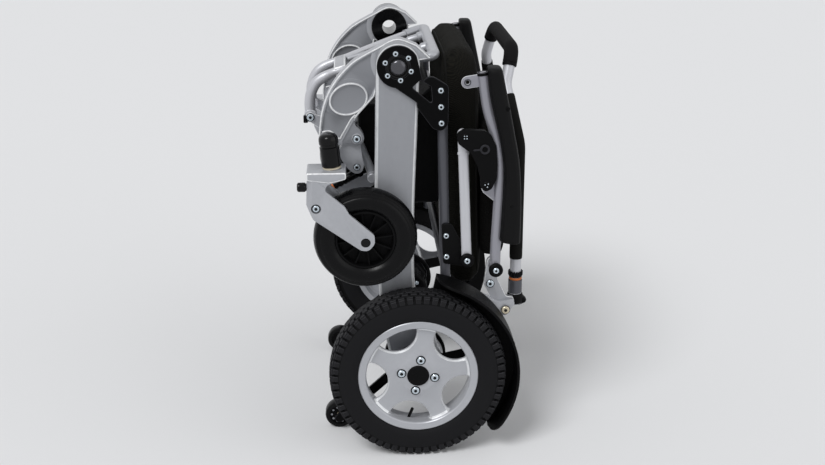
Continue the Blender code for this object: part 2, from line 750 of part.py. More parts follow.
def make_tip_arm():
    """Flat arm with a clamp ring that turns on the motor's end."""
    outer_y = -(REAR_ARM_INNER - 0.002)
    inner_y = outer_y + TIP_ARM_THICK
    bore = (MOTOR_RADIUS + PIN_GAP) / math.cos(math.pi / ROUND_STEPS)
    clamp = bore + TIP_RING_WALL
    lean = math.degrees(math.atan2(TIP_WHEEL_Z - AXLE_Z, TIP_WHEEL_X))
    spread = math.degrees(math.asin(TIP_ARM_HALF / clamp))
    outline = (arc(0.0, AXLE_Z, clamp, lean + spread, lean + 360 - spread, 16)
               + arc(TIP_WHEEL_X, TIP_WHEEL_Z, TIP_ARM_HALF, lean - 90, lean + 90, 6))
    body = plate(outline, outer_y, inner_y)
    hole = cylinder(0.0, AXLE_Z, bore, outer_y - 0.01, inner_y + 0.01, ROUND_STEPS)
    pin_end = -(TIP_WHEEL_PLANE - TIP_WHEEL_WIDTH / 2 - 0.0015)
    pin = turned([(0.0, outer_y + 0.002), (TIP_PIN_RADIUS, outer_y + 0.002), (TIP_PIN_RADIUS, pin_end),
                  (TIP_PIN_RADIUS + 0.003, pin_end), (TIP_PIN_RADIUS + 0.003, pin_end + 0.003),
                  (0.0, pin_end + 0.003)],
                 TIP_WHEEL_X, TIP_WHEEL_Z, SMALL_STEPS)
    return combined(body, adds=[pin], cuts=[hole])


def make_tip_wheel():
    half = TIP_WHEEL_WIDTH / 2
    y = -TIP_WHEEL_PLANE
    bore = TIP_PIN_RADIUS + PIN_GAP
    profile = [(bore, y - half + 0.001), (0.012, y - half + 0.001), (0.0145, y - half + 0.003), (0.0195, y - half),
               (TIP_WHEEL_RADIUS - 0.003, y - half), (TIP_WHEEL_RADIUS, y - half + 0.003),
               (TIP_WHEEL_RADIUS, y + half - 0.003), (TIP_WHEEL_RADIUS - 0.003, y + half), (0.0195, y + half),
               (bore, y + half - 0.001)]
    return turned(profile, TIP_WHEEL_X, TIP_WHEEL_Z, 16)


# Front frame

def front_arm_outline():
    outer = smooth([(0.0020, 0.7335), (-0.0315, 0.7445), (-0.0640, 0.7300), (-0.0985, 0.7115), (-0.1145, 0.6990),
                    (-0.1315, 0.6810), (-0.1465, 0.6590), (-0.1565, 0.6360), (-0.1630, 0.6110), (-0.1672, 0.5760)], 2)
    foot = [(-0.1670, 0.5560), (-0.1570, 0.5470), (-0.1400, 0.5470), (-0.1330, 0.5520)]
    inner = smooth([(-0.1290, 0.5580), (-0.1180, 0.5640), (-0.1080, 0.5610), (-0.0985, 0.5600), (-0.0915, 0.5650),
                    (-0.0890, 0.5750), (-0.0950, 0.5860), (-0.1035, 0.5960), (-0.1030, 0.6080), (-0.0880, 0.6260),
                    (-0.0700, 0.6460)], 2)
    head = arc(HUB_X, HUB_Z, FRONT_ARM_HEAD, 222, 362, 10)
    return outer + foot + inner + head + [(0.0250, 0.7115)]


def recess_outline():
    outer = smooth([(-0.0690, 0.7225), (-0.0960, 0.7075), (-0.1110, 0.6955), (-0.1275, 0.6780), (-0.1420, 0.6560),
                    (-0.1520, 0.6330), (-0.1585, 0.6090), (-0.1622, 0.5830)], 2)
    low = smooth([(-0.1570, 0.5860), (-0.1470, 0.5870), (-0.1390, 0.5815), (-0.1325, 0.5735)], 2)
    rib = [(-0.1300, 0.5740), (-0.1115, 0.6070)]
    inner = smooth([(-0.1025, 0.6150), (-0.0900, 0.6290), (-0.0760, 0.6480)], 2)
    head = arc(HUB_X, HUB_Z, FRONT_ARM_HEAD + 0.006, 226, 162, 8)
    return outer + low + rib + inner + head


def recess_cut(y_face, depth):
    """Shallow panel cut round the raised oval ring."""
    away = math.copysign(0.010, y_face - depth_middle())
    floor = y_face - math.copysign(depth, away)
    panel = plate(recess_outline(), floor, y_face + away)
    keep_out = plate(oval(RING_X, RING_Z, RING_LONG, RING_SHORT, RING_TILT, 16), y_face - 0.030, y_face + 0.030)
    keep_in = plate(oval(RING_X, RING_Z, RING_LONG - RING_BAND, RING_SHORT - RING_BAND, RING_TILT, 16),
                    floor, y_face + away)
    return [combined(panel, cuts=[keep_out]), keep_in]


def lug_cut():
    """Lowers the outer face beyond the slanting rib, round the seat of the lug's bolt."""
    y_face = -FRONT_ARM_OUTER
    outline = [(-0.1265, 0.5400), (-0.1265, 0.5690), (-0.1065, 0.6045), (-0.0800, 0.6045), (-0.0800, 0.5400)]
    panel = plate(outline, y_face + FRONT_ARM_STEP, y_face - 0.010)
    seat = cylinder(LUG_BOLT_X, LUG_BOLT_Z, LUG_SEAT_RADIUS, y_face - 0.02, y_face + 0.02, 16)
    return combined(panel, cuts=[seat])


def depth_middle():
    return -(FRONT_ARM_OUTER + FRONT_ARM_INNER) / 2


def make_front_arm():
    body = plate(front_arm_outline(), -FRONT_ARM_OUTER, -FRONT_ARM_INNER)
    bore = cylinder(HUB_X, HUB_Z, HUB_BUSH_RADIUS + PIN_GAP, -FRONT_ARM_OUTER - 0.01, -FRONT_ARM_INNER + 0.01, 24)
    cuts = [bore]
    cuts += recess_cut(-FRONT_ARM_OUTER, FRONT_ARM_RECESS)
    cuts += recess_cut(-FRONT_ARM_INNER, FRONT_ARM_RECESS)
    cuts.append(lug_cut())
    arm = combined(body, cuts=cuts)
    paddle_in = -(PADDLE_OUTER - PADDLE_THICK)
    paddle = plate(paddle_outline(), -PADDLE_OUTER, paddle_in)
    return combined(arm, adds=[paddle])


def paddle_outline():
    """Lug under the arm that the damper is bolted to."""
    return rounded([(-0.1320, 0.5660, 0.004), (-0.1335, 0.5500, 0.010), (-0.1285, 0.5320, 0.012),
                    (-0.1175, 0.5160, 0.012), (-0.1060, 0.5070, 0.010), (-0.0940, 0.5080, 0.010),
                    (-0.0900, 0.5200, 0.010), (-0.0930, 0.5400, 0.010), (-0.0960, 0.5680, 0.004)], 2)


def make_damper():
    """Short strut fixed to the lug's inner side, with a rubber buffer at its free end."""
    y = -DAMPER_PLANE
    top = Vector((DAMPER_TOP_X, y, DAMPER_TOP_Z))
    end = Vector((DAMPER_END_X, y, DAMPER_END_Z))
    along = (end - top).normalized()
    body = rod(top, end - along * 0.012, DAMPER_RADIUS)
    buffer = rod(end - along * 0.013, end, DAMPER_RADIUS - 0.0015)
    seat_at = top + along * 0.004
    lug_in = -(PADDLE_OUTER - PADDLE_THICK - TOUCH_GAP)
    seat = cylinder(seat_at.x, seat_at.z, DAMPER_RADIUS - 0.001, y - 0.001, lug_in)
    return combined(body, adds=[buffer, seat])


def make_front_tube():
    reach = FRONT_ARM_INNER - TOUCH_GAP
    return cylinder(FRONT_TUBE_X, FRONT_TUBE_Z, FRONT_TUBE_RADIUS, -reach, reach, TUBE_STEPS)


def make_stop_bar():
    """Bar from the arm's lug to the stop that meets the rear arm when folded, with a pointed guard below."""
    outer_y = -(FRONT_ARM_INNER - TOUCH_GAP)
    inner_y = outer_y + STOP_BAR_THICK
    bar = plate(slot(LUG_BOLT_X, LUG_BOLT_Z, STOP_END_X, STOP_END_Z, STOP_BAR_WIDTH / 2), outer_y, inner_y, 0.001)
    bumper = cylinder(STOP_END_X, STOP_END_Z, STOP_BUMPER_RADIUS, outer_y - 0.020, -WEDGE_PLANE - 0.001)
    guard = plate(rounded([(-0.0690, 0.5060, 0.006), (-0.0860, 0.4985, 0.004), (-0.1460, 0.4710, 0.003),
                           (-0.1490, 0.4640, 0.003), (-0.1400, 0.4600, 0.004), (-0.0860, 0.4690, 0.006),
                           (-0.0720, 0.4760, 0.008), (-0.0640, 0.4940, 0.008)], 2),
                  -WEDGE_PLANE, -WEDGE_PLANE - WEDGE_THICK)
    return combined(bar, adds=[bumper, guard])


def make_foot_bracket():
    """Two ears on the front tube that carry the footrest's pin."""
    ear_out = FOOT_PIVOT_HALF + FOOT_RAIL_RADIUS + 0.0005 + TOUCH_GAP + FOOT_EAR_THICK
    ear_in = ear_out - FOOT_EAR_THICK
    bore = FRONT_TUBE_RADIUS + TOUCH_GAP
    sleeve = ring(FRONT_TUBE_X, FRONT_TUBE_Z, bore + 0.005, bore, -ear_out, ear_out, TUBE_STEPS)
    adds = []
    for side in (-1, 1):
        adds.append(plate(ear_outline(), side * ear_in, side * ear_out))
    adds.append(cylinder(FOOT_PIVOT_X, FOOT_PIVOT_Z, FOOT_PIN_RADIUS, -ear_out - 0.003, ear_out + 0.003))
    cut = cylinder(FRONT_TUBE_X, FRONT_TUBE_Z, bore, -ear_out - 0.01, ear_out + 0.01, TUBE_STEPS)
    return combined(sleeve, adds=adds, cuts=[cut])


def ear_outline():
    return (arc(FOOT_PIVOT_X, FOOT_PIVOT_Z, 0.0085, 40, 220, 6)
            + arc(FRONT_TUBE_X, FRONT_TUBE_Z, FRONT_TUBE_RADIUS + 0.0045, -140, 60, 8))


def make_stem_housing():
    """Caster bearing barrel with a domed top, on a foot bolted to the front arm."""
    y = -CASTER_PLANE
    up = Vector((-math.sin(STEM_TILT), 0.0, math.cos(STEM_TILT)))
    low = Vector((STEM_X, y, STEM_Z)) + up * 0.004
    profile = [(0.0, 0.0), (STEM_RADIUS - 0.001, 0.0), (STEM_RADIUS, 0.0015), (STEM_RADIUS, STEM_LENGTH - 0.010),
               (STEM_RADIUS * 0.93, STEM_LENGTH - 0.005), (STEM_RADIUS * 0.70, STEM_LENGTH - 0.0015),
               (STEM_RADIUS * 0.35, STEM_LENGTH), (0.0, STEM_LENGTH + 0.0003)]
    barrel = turned([(r, -h) for r, h in profile], 0.0, 0.0, 18)
    barrel.transform(stem_matrix(low))
    reach = -(FRONT_ARM_OUTER + TOUCH_GAP)
    foot = block(STEM_X - 0.0155, STEM_X + 0.0075, y, reach, STEM_Z + 0.010, STEM_Z + 0.037, 0.003)
    return combined(barrel, adds=[foot])


def stem_matrix(spot):
    """Turns a profile's -Y direction into the leaning stem direction at a spot."""
    lean = Matrix.Rotation(-STEM_TILT, 4, "Y")
    return Matrix.Translation(spot) @ lean @ Matrix.Rotation(math.radians(-90), 4, "X")


def fork_outline():
    """Leg of the fork, with an arch under the yoke and a round end at the axle."""
    top = STEM_Z - 0.0004
    x = STEM_X
    z = STEM_Z
    end_x = CASTER_AXLE_X
    end_z = CASTER_AXLE_Z
    corners = [(x - 0.0420, top, 0.002), (x - 0.0445, z - 0.0550, 0.008), (x - 0.0330, z - 0.0810, 0.010),
               (end_x - 0.0080, end_z - 0.0135, 0.010), (end_x + 0.0050, end_z - 0.0150, 0.010),
               (end_x + 0.0155, end_z - 0.0020, 0.010), (end_x + 0.0150, end_z + 0.0130, 0.008),
               (x + 0.0275, z - 0.0735, 0.004), (x + 0.0200, z - 0.0595, 0.004), (x - 0.0135, z - 0.0300, 0.010),
               (x - 0.0080, z - 0.0210, 0.006), (x + 0.0090, z - 0.0150, 0.006), (x + 0.0228, z - 0.0110, 0.005),
               (x + 0.0228, top, 0.003)]
    return rounded(corners, 2)


def fork_bevel(outer_y):
    """Wedge that takes off the leg's front edge from top to bottom."""
    x = STEM_X - 0.0455
    low = STEM_Z - 0.090
    high = STEM_Z + 0.010
    form = bmesh.new()
    spots = [(x - 0.004, outer_y - 0.002), (x + FORK_BEVEL + 0.003, outer_y - 0.002),
             (x - 0.004, outer_y + FORK_OUTER_PLATE * (FORK_BEVEL + 0.004) / FORK_BEVEL)]
    rows = [[form.verts.new((a + (z - low) * 0.045, b, z)) for a, b in spots] for z in (low, high)]
    form.faces.new(rows[0])
    form.faces.new(rows[1])
    for k in range(3):
        j = (k + 1) % 3
        form.faces.new((rows[0][k], rows[0][j], rows[1][j], rows[1][k]))
    return to_mesh(form)


def fork_step(outer_y):
    """Sets the yoke's front a little behind the leg's, along a slanting line."""
    left = STEM_X - 0.0317
    right = STEM_X + 0.0500
    low = STEM_Z - 0.0485
    high = STEM_Z + 0.0100
    outline = [(left, STEM_Z - 0.0090), (STEM_X + 0.0130, low), (right, low), (right, high), (left, high)]
    return plate(outline, outer_y + FORK_STEP, outer_y - 0.010)


def yoke_outline():
    return rounded([(-0.1864, STEM_Z - YOKE_THICK, 0.002), (-0.1864, STEM_Z, 0.003), (-0.1208, STEM_Z, 0.003),
                    (-0.1208, STEM_Z - 0.0115, 0.004), (-0.1350, STEM_Z - 0.0155, 0.004),
                    (-0.1500, STEM_Z - 0.0180, 0.004)], 2)


def make_fork():
    """Yoke under the stem and two legs that hold the axle."""
    outer_in = -(CASTER_OUTER + RUN_GAP)
    outer_out = outer_in - FORK_OUTER_PLATE
    inner_out = -(CASTER_INNER - RUN_GAP)
    inner_in = inner_out + FORK_INNER_PLATE
    leg = plate(fork_outline(), outer_out, outer_in, 0.001, "outer")
    back_leg = plate(fork_outline(), inner_out, inner_in)
    yoke = plate(yoke_outline(), outer_out - 0.0002, inner_in + 0.0002, 0.001)
    pin = cylinder(CASTER_AXLE_X, CASTER_AXLE_Z, CASTER_AXLE_RADIUS, outer_in - 0.002, inner_out + 0.002)
    up = Vector((-math.sin(STEM_TILT), 0.0, math.cos(STEM_TILT)))
    base = Vector((STEM_X, -CASTER_PLANE, STEM_Z))
    collar = rod(base - up * 0.006, base + up * 0.0037, STEM_RADIUS - 0.003, 14)
    knob = rod((FORK_KNOB_END_X, -FORK_KNOB_PLANE, FORK_KNOB_Z), (STEM_X - 0.038, -FORK_KNOB_PLANE, FORK_KNOB_Z),
               FORK_KNOB_RADIUS)
    body = combined(leg, adds=[back_leg, yoke, pin, collar], cuts=[fork_bevel(outer_out), fork_step(outer_out)])
    return combined(body, adds=[knob])


def make_caster_tyre():
    half = CASTER_WIDTH / 2
    y = -CASTER_PLANE
    bead = CASTER_RIM_RADIUS + TOUCH_GAP
    profile = [(bead, y - half * 0.72), (bead + 0.014, y - half), (CASTER_RADIUS - 0.012, y - half * 0.90),
               (CASTER_RADIUS - 0.003, y - half * 0.55), (CASTER_RADIUS, y), (CASTER_RADIUS - 0.003, y + half * 0.55),
               (CASTER_RADIUS - 0.012, y + half * 0.90), (bead + 0.014, y + half), (bead, y + half * 0.72)]
    return turned(profile, CASTER_AXLE_X, CASTER_AXLE_Z, ROUND_STEPS)


def make_caster_rim():
    half = CASTER_RIM_WIDTH / 2
    y = -CASTER_PLANE
    bore = CASTER_AXLE_RADIUS + PIN_GAP
    web = 0.003
    wall = CASTER_RIM_RADIUS - 0.004
    hub_end = CASTER_WIDTH / 2 - 0.0005
    profile = [(CASTER_RIM_RADIUS, y - half), (CASTER_RIM_RADIUS, y + half), (wall, y + half),
               (wall - 0.001, y + web),
               (CASTER_HUB_RADIUS, y + web), (CASTER_HUB_RADIUS - 0.001, y + hub_end), (bore, y + hub_end),
               (bore, y - hub_end), (CASTER_HUB_RADIUS - 0.001, y - hub_end), (CASTER_HUB_RADIUS, y - web),
               (wall - 0.001, y - web), (wall, y - half)]
    body = turned(profile, CASTER_AXLE_X, CASTER_AXLE_Z, ROUND_STEPS)
    ribs = []
    middle = (CASTER_HUB_RADIUS + wall) / 2
    reach = (wall - CASTER_HUB_RADIUS) / 2 + 0.002
    for i in range(CASTER_RIBS):
        turn = 2 * math.pi * i / CASTER_RIBS
        rib = block(CASTER_AXLE_X + middle - reach, CASTER_AXLE_X + middle + reach,
                    y - half + 0.003, y + half - 0.003,
                    CASTER_AXLE_Z - CASTER_RIB_THICK / 2, CASTER_AXLE_Z + CASTER_RIB_THICK / 2)
        ribs.append(leaned(rib, CASTER_AXLE_X, y, CASTER_AXLE_Z, -turn))
    return combined(body, adds=ribs)


# Footrest

def foot_half(x):
    """Half width of the footrest frame: straight to the cross block, then wider to its end."""
    share = (x - FOOT_BLOCK_X) / (FOOT_END_X - FOOT_BLOCK_X)
    return FOOT_PIVOT_HALF + (FOOT_END_HALF - FOOT_PIVOT_HALF) * min(max(share, 0.0), 1.0)


def foot_radius(spot, extra=0.0):
    """Thick rails up to the cross block and a thinner loop beyond it."""
    share = (spot.x - FOOT_BLOCK_X + 0.030) / 0.030
    share = min(max(share, 0.0), 1.0)
    return FOOT_RAIL_RADIUS + (FOOT_LOOP_RADIUS - FOOT_RAIL_RADIUS) * share + extra


def foot_path():
    """Centre line of the whole loop, from one pivot over the end to the other pivot."""
    spine = [(FOOT_PIVOT_X, FOOT_PIVOT_Z), (-0.1855, 0.6020), (-0.1825, 0.6220), (-0.1730, 0.6405), (-0.1560, 0.6525),
             (-0.1280, 0.6635), (-0.0700, 0.6800), (-0.0300, 0.6905), (-0.0020, 0.6975)]
    near = [Vector(p) for p in smooth([(x, -foot_half(x), z) for x, z in spine], 2)]
    far = [Vector((p.x, -p.y, p.z)) for p in near]
    end = Vector((FOOT_END_X, -FOOT_END_HALF, FOOT_END_Z))
    far_end = Vector((FOOT_END_X, FOOT_END_HALF, FOOT_END_Z))
    return near[:-1] + bent([near[-1], end, far_end, far[-1]], 0.030, 4) + far[:-1][::-1]


def make_foot_frame():
    """Tube loop with an eye at each pivot and a cast block across its rails."""
    frame = tube(foot_path(), foot_radius, 8)
    half = FOOT_BLOCK_LONG / 2
    lift = FOOT_BLOCK_THICK / 2
    reach = FOOT_PIVOT_HALF + 0.004
    cross = block(FOOT_BLOCK_X - half, FOOT_BLOCK_X + half, -reach, reach, FOOT_BLOCK_Z - lift, FOOT_BLOCK_Z + lift,
                  0.003, 1)
    leaned(cross, FOOT_BLOCK_X, 0.0, FOOT_BLOCK_Z, -math.radians(FOOT_BLOCK_LEAN))
    eyes = []
    bores = []
    for side in (-1, 1):
        y0 = side * (FOOT_PIVOT_HALF - FOOT_RAIL_RADIUS - 0.0005)
        y1 = side * (FOOT_PIVOT_HALF + FOOT_RAIL_RADIUS + 0.0005)
        eyes.append(cylinder(FOOT_PIVOT_X, FOOT_PIVOT_Z, FOOT_RAIL_RADIUS + 0.002, y0, y1))
        bores.append(cylinder(FOOT_PIVOT_X, FOOT_PIVOT_Z, FOOT_PIN_RADIUS + PIN_GAP, y0 * 0.7, y1 * 1.2))
    return combined(frame, adds=eyes + [cross], cuts=bores)


def make_foot_plate():
    """Cast end piece over the loop, with two rods that run back to the cross block."""
    inner_x = FOOT_CAST_X - FOOT_CAST_DEEP
    reach = FOOT_END_HALF + 0.0100
    corner = FOOT_CAST_CORNER
    outline = rounded([(inner_x, -reach, 0.004), (FOOT_CAST_X, -reach, corner), (FOOT_CAST_X, reach, corner),
                       (inner_x, reach, 0.004)], 4)
    half = FOOT_CAST_THICK / 2
    casting = slab(outline, FOOT_END_Z - half, FOOT_END_Z + half, 0.003)
    leaned(casting, FOOT_END_X, 0.0, FOOT_END_Z, -math.radians(FOOT_CAST_LEAN))
    start_x = FOOT_BLOCK_X + FOOT_BLOCK_LONG / 2 + 0.0020
    rods = []
    for side in (-1, 1):
        start = Vector((start_x, side * FOOT_ROD_NEAR_HALF, FOOT_BLOCK_Z + 0.0030))
        end = Vector((inner_x + 0.003, side * FOOT_ROD_FAR_HALF, FOOT_END_Z - 0.0020))
        along = (end - start).normalized()
        rods.append(rod(start, end, FOOT_ROD_RADIUS, 10))
        rods.append(rod(end - along * FOOT_FINGER_LONG, end + along * 0.001, FOOT_FINGER_RADIUS, 10))
    tunnel = tube(foot_path(), lambda spot: foot_radius(spot, TOUCH_GAP), 8)
    return combined(casting, adds=rods, cuts=[tunnel])


# Seat frame

def make_seat_tube():
    y = -SEAT_TUBE_PLANE
    return tube([(SEAT_TOP_X, y, SEAT_TOP_Z - 0.030), (SEAT_BOTTOM_X, y, SEAT_BOTTOM_Z)], SEAT_TUBE_RADIUS, 14)


def seat_x(z):
    share = (SEAT_TOP_Z - z) / (SEAT_TOP_Z - SEAT_BOTTOM_Z)
    return SEAT_TOP_X + (SEAT_BOTTOM_X - SEAT_TOP_X) * share


def make_seat_cross(z):
    reach = SEAT_TUBE_PLANE - SEAT_TUBE_RADIUS - TOUCH_GAP
    return cylinder(seat_x(z), z, SEAT_CROSS_RADIUS, -reach, reach, TUBE_STEPS)


def make_hub_bracket():
    """Black plate from the main pivot to the seat tube, with a triangular window."""
    outline = (arc(HUB_X, HUB_Z, BRACKET_HEAD, 30, 262, 14)
               + rounded([(-0.0020, 0.6400, 0.010), (0.0260, 0.6015, 0.010), (0.0420, 0.5945, 0.012), (0.0525, 0.6080, 0.012),
                          (0.0525, 0.6740, 0.008), (0.0150, 0.6970, 0.012)], 3))
    body = plate(outline, -BRACKET_OUTER, -BRACKET_INNER, 0.001, "outer")
    window = plate(rounded([(-0.0085, 0.6710, 0.002), (0.0050, 0.6840, 0.003), (0.0235, 0.6730, 0.003),
                            (0.0255, 0.6430, 0.002)], 3), -BRACKET_OUTER - 0.01, -BRACKET_INNER + 0.01)
    bore = cylinder(HUB_X, HUB_Z, HUB_BUSH_RADIUS + PIN_GAP, -BRACKET_OUTER - 0.01, -BRACKET_INNER + 0.01, 24)
    return combined(body, cuts=[window, bore])


def make_link_bracket():
    """Plate on the seat tube with the pivot pin of the armrest link."""
    y_in = BRACKET_INNER
    y_out = y_in + LINK_PLATE_THICK
    outline = rounded([(0.0425, 0.4300, 0.004), (0.0600, 0.4300, 0.006), (0.0760, 0.4000, 0.010), (0.0960, 0.3840, 0.010),
                       (0.1010, 0.3600, 0.012), (0.0870, 0.3500, 0.010), (0.0460, 0.3560, 0.005)], 2)
    body = plate(outline, -y_out, -y_in, 0.0008, "outer")
    link_out = link_plane() + LINK_THICK / 2
    pin = cylinder(LINK_PIVOT_X, LINK_PIVOT_Z, ARM_PIN_RADIUS, -y_in - 0.001, -(link_out + 0.002))
    knob_y = link_out + PIN_GAP + 0.0005
    knob = turned([(0.0, -knob_y), (KNOB_RADIUS, -knob_y), (KNOB_RADIUS, -knob_y - KNOB_THICK + 0.0015),
                   (KNOB_RADIUS - 0.0015, -knob_y - KNOB_THICK), (0.0, -knob_y - KNOB_THICK)],
                  LINK_PIVOT_X, LINK_PIVOT_Z, 14)
    return combined(body, adds=[pin, knob])


def link_plane():
    return BRACKET_INNER + LINK_PLATE_THICK + PIN_GAP + LINK_THICK / 2 + 0.0007


def make_seat_hinge():
    """Bar from the seat tube's lower end to the back pivot."""
    bar = plate(rounded([(0.0440, 0.3200, 0.006), (0.0600, 0.3200, 0.006), (0.1120, 0.2970, 0.020), (0.1480, 0.2760, 0.010),
                         (0.1600, 0.2790, 0.006), (0.1740, 0.2830, 0.004), (0.1765, 0.2720, 0.004), (0.1600, 0.2470, 0.010),
                         (0.1450, 0.2560, 0.008), (0.1080, 0.2790, 0.020), (0.0560, 0.3010, 0.008)], 2),
                -SEAT_HINGE_OUTER, -SEAT_HINGE_INNER, 0.0008)
    bore = cylinder(BACK_PIVOT_X, BACK_PIVOT_Z, BACK_PIN_RADIUS + PIN_GAP, -SEAT_HINGE_OUTER - 0.01,
                    -SEAT_HINGE_INNER + 0.01)
    seat = combined(bar, cuts=[bore, tube_clearance()])
    return seat


def tube_clearance():
    """Seat for the seat tube's end, which lies in a groove of the bar."""
    y = -SEAT_TUBE_PLANE
    return tube([(seat_x(0.40), y, 0.40), (SEAT_BOTTOM_X + 0.00001, y, SEAT_BOTTOM_Z - TOUCH_GAP)],
                SEAT_TUBE_RADIUS + TOUCH_GAP, 14)


def make_seat_cushion():
    """Thick pad that lies on the seat's cross tubes and leans with them."""
    half = SEAT_HALF_WIDTH
    outline = rounded([(-half, SEAT_LOW_Z, SEAT_EDGE), (half, SEAT_LOW_Z, SEAT_EDGE), (half, SEAT_HIGH_Z, SEAT_CORNER),
                       (-half, SEAT_HIGH_Z, SEAT_CORNER)], 5)
    mesh = plate(outline, 0.0, SEAT_THICK, SEAT_EDGE, segments=2)
    mesh.transform(Matrix(((0, 1, 0, 0), (1, 0, 0, 0), (0, 0, 1, 0), (0, 0, 0, 1))))
    mesh.flip_normals()
    for v in mesh.vertices:
        v.co.x += seat_x(v.co.z) + SEAT_CROSS_RADIUS + TOUCH_GAP
    return mesh


# Back frame

def back_leg_path():
    """Centre line of the near leg, from its foot to the middle of the push bar's corner."""
    return [(BACK_LEG_X, -BACK_PLANE, BACK_LEG_Z), (BACK_LEG_X - 0.002, -BACK_PLANE, BACK_STRAIGHT_Z),
            (BACK_SHOULDER_X, -BACK_SHOULDER_HALF, BACK_SHOULDER_Z), (BACK_TOP_X, -BACK_NARROW, BACK_TOP_Z)]


def back_path():
    near = [Vector(p) for p in back_leg_path()]
    far = [Vector((p.x, -p.y, p.z)) for p in near][::-1]
    return bent(near + far, BACK_BEND, 4)


def make_back_frame():
    """U-shaped tube with its legs and a cross bar."""
    frame = tube(back_path(), BACK_TUBE_RADIUS, 10)
    bar_x = BACK_CUSHION_FRONT_X + BACK_CUSHION_THICK + TOUCH_GAP + BACK_BAR_RADIUS
    cross = cylinder(bar_x, BACK_BAR_Z, BACK_BAR_RADIUS, -BACK_PLANE - 0.001, BACK_PLANE + 0.001)
    return combined(frame, adds=[cross])


def make_push_grip():
    """Foam sleeve over the top of the back frame."""
    whole = back_path()
    top = [p for p in whole if p.z > GRIP_START_Z]
    outer = tube(top, GRIP_RADIUS, 12)
    bore = tube(whole, BACK_TUBE_RADIUS + TOUCH_GAP, 10)
    return combined(outer, cuts=[bore])


def make_back_cushion():
    half = BACK_PLANE - BACK_TUBE_RADIUS - 0.004
    return block(BACK_CUSHION_FRONT_X, BACK_CUSHION_FRONT_X + BACK_CUSHION_THICK, -half, half,
                 BACK_CUSHION_LOW_Z, BACK_CUSHION_HIGH_Z, 0.014, 3)


def make_back_casting():
    """Hinge casting at the back's foot with the armrest pivot pin."""
    outer = -BACK_CASTING_OUTER
    inner = -BACK_CASTING_INNER
    outline = rounded([(0.1260, 0.3560, 0.010), (0.1380, 0.3640, 0.010), (0.1490, 0.3560, 0.008), (0.1460, 0.3180, 0.008),
                       (0.1640, 0.2815, 0.006), (0.1880, 0.2815, 0.005), (0.1930, 0.2740, 0.006), (0.1780, 0.2620, 0.010),
                       (0.1600, 0.2500, 0.012), (0.1450, 0.2560, 0.010), (0.1210, 0.3080, 0.008)], 2)
    body = plate(outline, outer, inner, 0.001)
    boss = rod((BACK_LEG_X, -BACK_PLANE, BACK_LEG_Z - 0.022), (BACK_LEG_X, -BACK_PLANE, BACK_LEG_Z - TOUCH_GAP),
               SOCKET_RADIUS, 14)
    wing = block(BACK_LEG_X, WING_END_X, -BACK_PLANE - 0.0045, -BACK_PLANE + 0.0045, BACK_LEG_Z - 0.017,
                 BACK_LEG_Z - 0.006, 0.002, 1)
    hinge_pin = cylinder(BACK_PIVOT_X, BACK_PIVOT_Z, BACK_PIN_RADIUS, outer + 0.002, -SEAT_HINGE_OUTER - 0.003)
    pin_end = ARM_PLANE + ARM_TUBE_RADIUS + 0.001
    arm_pin = cylinder(ARM_PIVOT_X, ARM_PIVOT_Z, ARM_PIN_RADIUS, outer + 0.002, -pin_end - 0.002)
    knob = turned([(0.0, -pin_end), (KNOB_RADIUS, -pin_end), (KNOB_RADIUS, -pin_end - KNOB_THICK + 0.0015),
                   (KNOB_RADIUS - 0.0015, -pin_end - KNOB_THICK), (0.0, -pin_end - KNOB_THICK)],
                  ARM_PIVOT_X, ARM_PIVOT_Z, 14)
    return combined(body, adds=[boss, wing, hinge_pin, arm_pin, knob, back_socket()])


def back_socket():
    """Clamp sleeve round the foot of the back tube."""
    bore = BACK_TUBE_RADIUS + TOUCH_GAP
    low = BACK_LEG_Z
    high = low + SOCKET_LENGTH
    top = back_leg_path()[1]
    lean = (top[0] - BACK_LEG_X) / (top[2] - low)
    seat = low - 0.001
    body = tube([(BACK_LEG_X, -BACK_PLANE, seat), (BACK_LEG_X + lean * SOCKET_LENGTH, -BACK_PLANE, high)],
                SOCKET_RADIUS - 0.0008, 14)
    hole = tube([(BACK_LEG_X, -BACK_PLANE, low - TOUCH_GAP),
                 (BACK_LEG_X + lean * (SOCKET_LENGTH + 0.01), -BACK_PLANE, high + 0.01)], bore, 14)
    return combined(body, cuts=[hole])


# Armrests

def arm_spine():
    return [(ARM_PIVOT_X, ARM_PIVOT_Z), (0.1370, 0.3900), (0.1392, 0.4440), (0.1410, 0.4980), (0.1392, 0.5480),
            (0.1295, 0.5960), (0.1170, 0.6400), (0.1080, 0.6980)]


def make_arm_tube():
    y = -ARM_PLANE
    path = [(x, y, z) for x, z in smooth(arm_spine(), 2)]
    bar = tube(path, ARM_TUBE_RADIUS, 10)
    eye = cylinder(ARM_PIVOT_X, ARM_PIVOT_Z, ARM_TUBE_RADIUS + 0.0012, y - ARM_TUBE_RADIUS, y + ARM_TUBE_RADIUS)
    bore = cylinder(ARM_PIVOT_X, ARM_PIVOT_Z, ARM_PIN_RADIUS + PIN_GAP, y - 0.02, y + 0.02)
    gusset_y = arm_bracket_inner() - TOUCH_GAP
    gusset = plate(rounded([(0.1360, 0.5150, 0.002), (0.1230, 0.5060, 0.003), (0.1080, 0.4990, 0.004), (0.1130, 0.4890, 0.004),
                            (0.1360, 0.4700, 0.002)], 3), -gusset_y, -gusset_y + 0.006)
    ear = plate(slot(EAR_X, EAR_Z, 0.1090, EAR_Z + 0.004, EAR_RADIUS), y - EAR_THICK / 2, y + EAR_THICK / 2, 0.0006)
    ear_hole = cylinder(EAR_X, EAR_Z, 0.0032, y - 0.01, y + 0.01)
    return combined(bar, adds=[eye, gusset, ear], cuts=[bore, ear_hole])


def arm_bracket_inner():
    return link_plane() + LINK_THICK / 2 + 0.0012


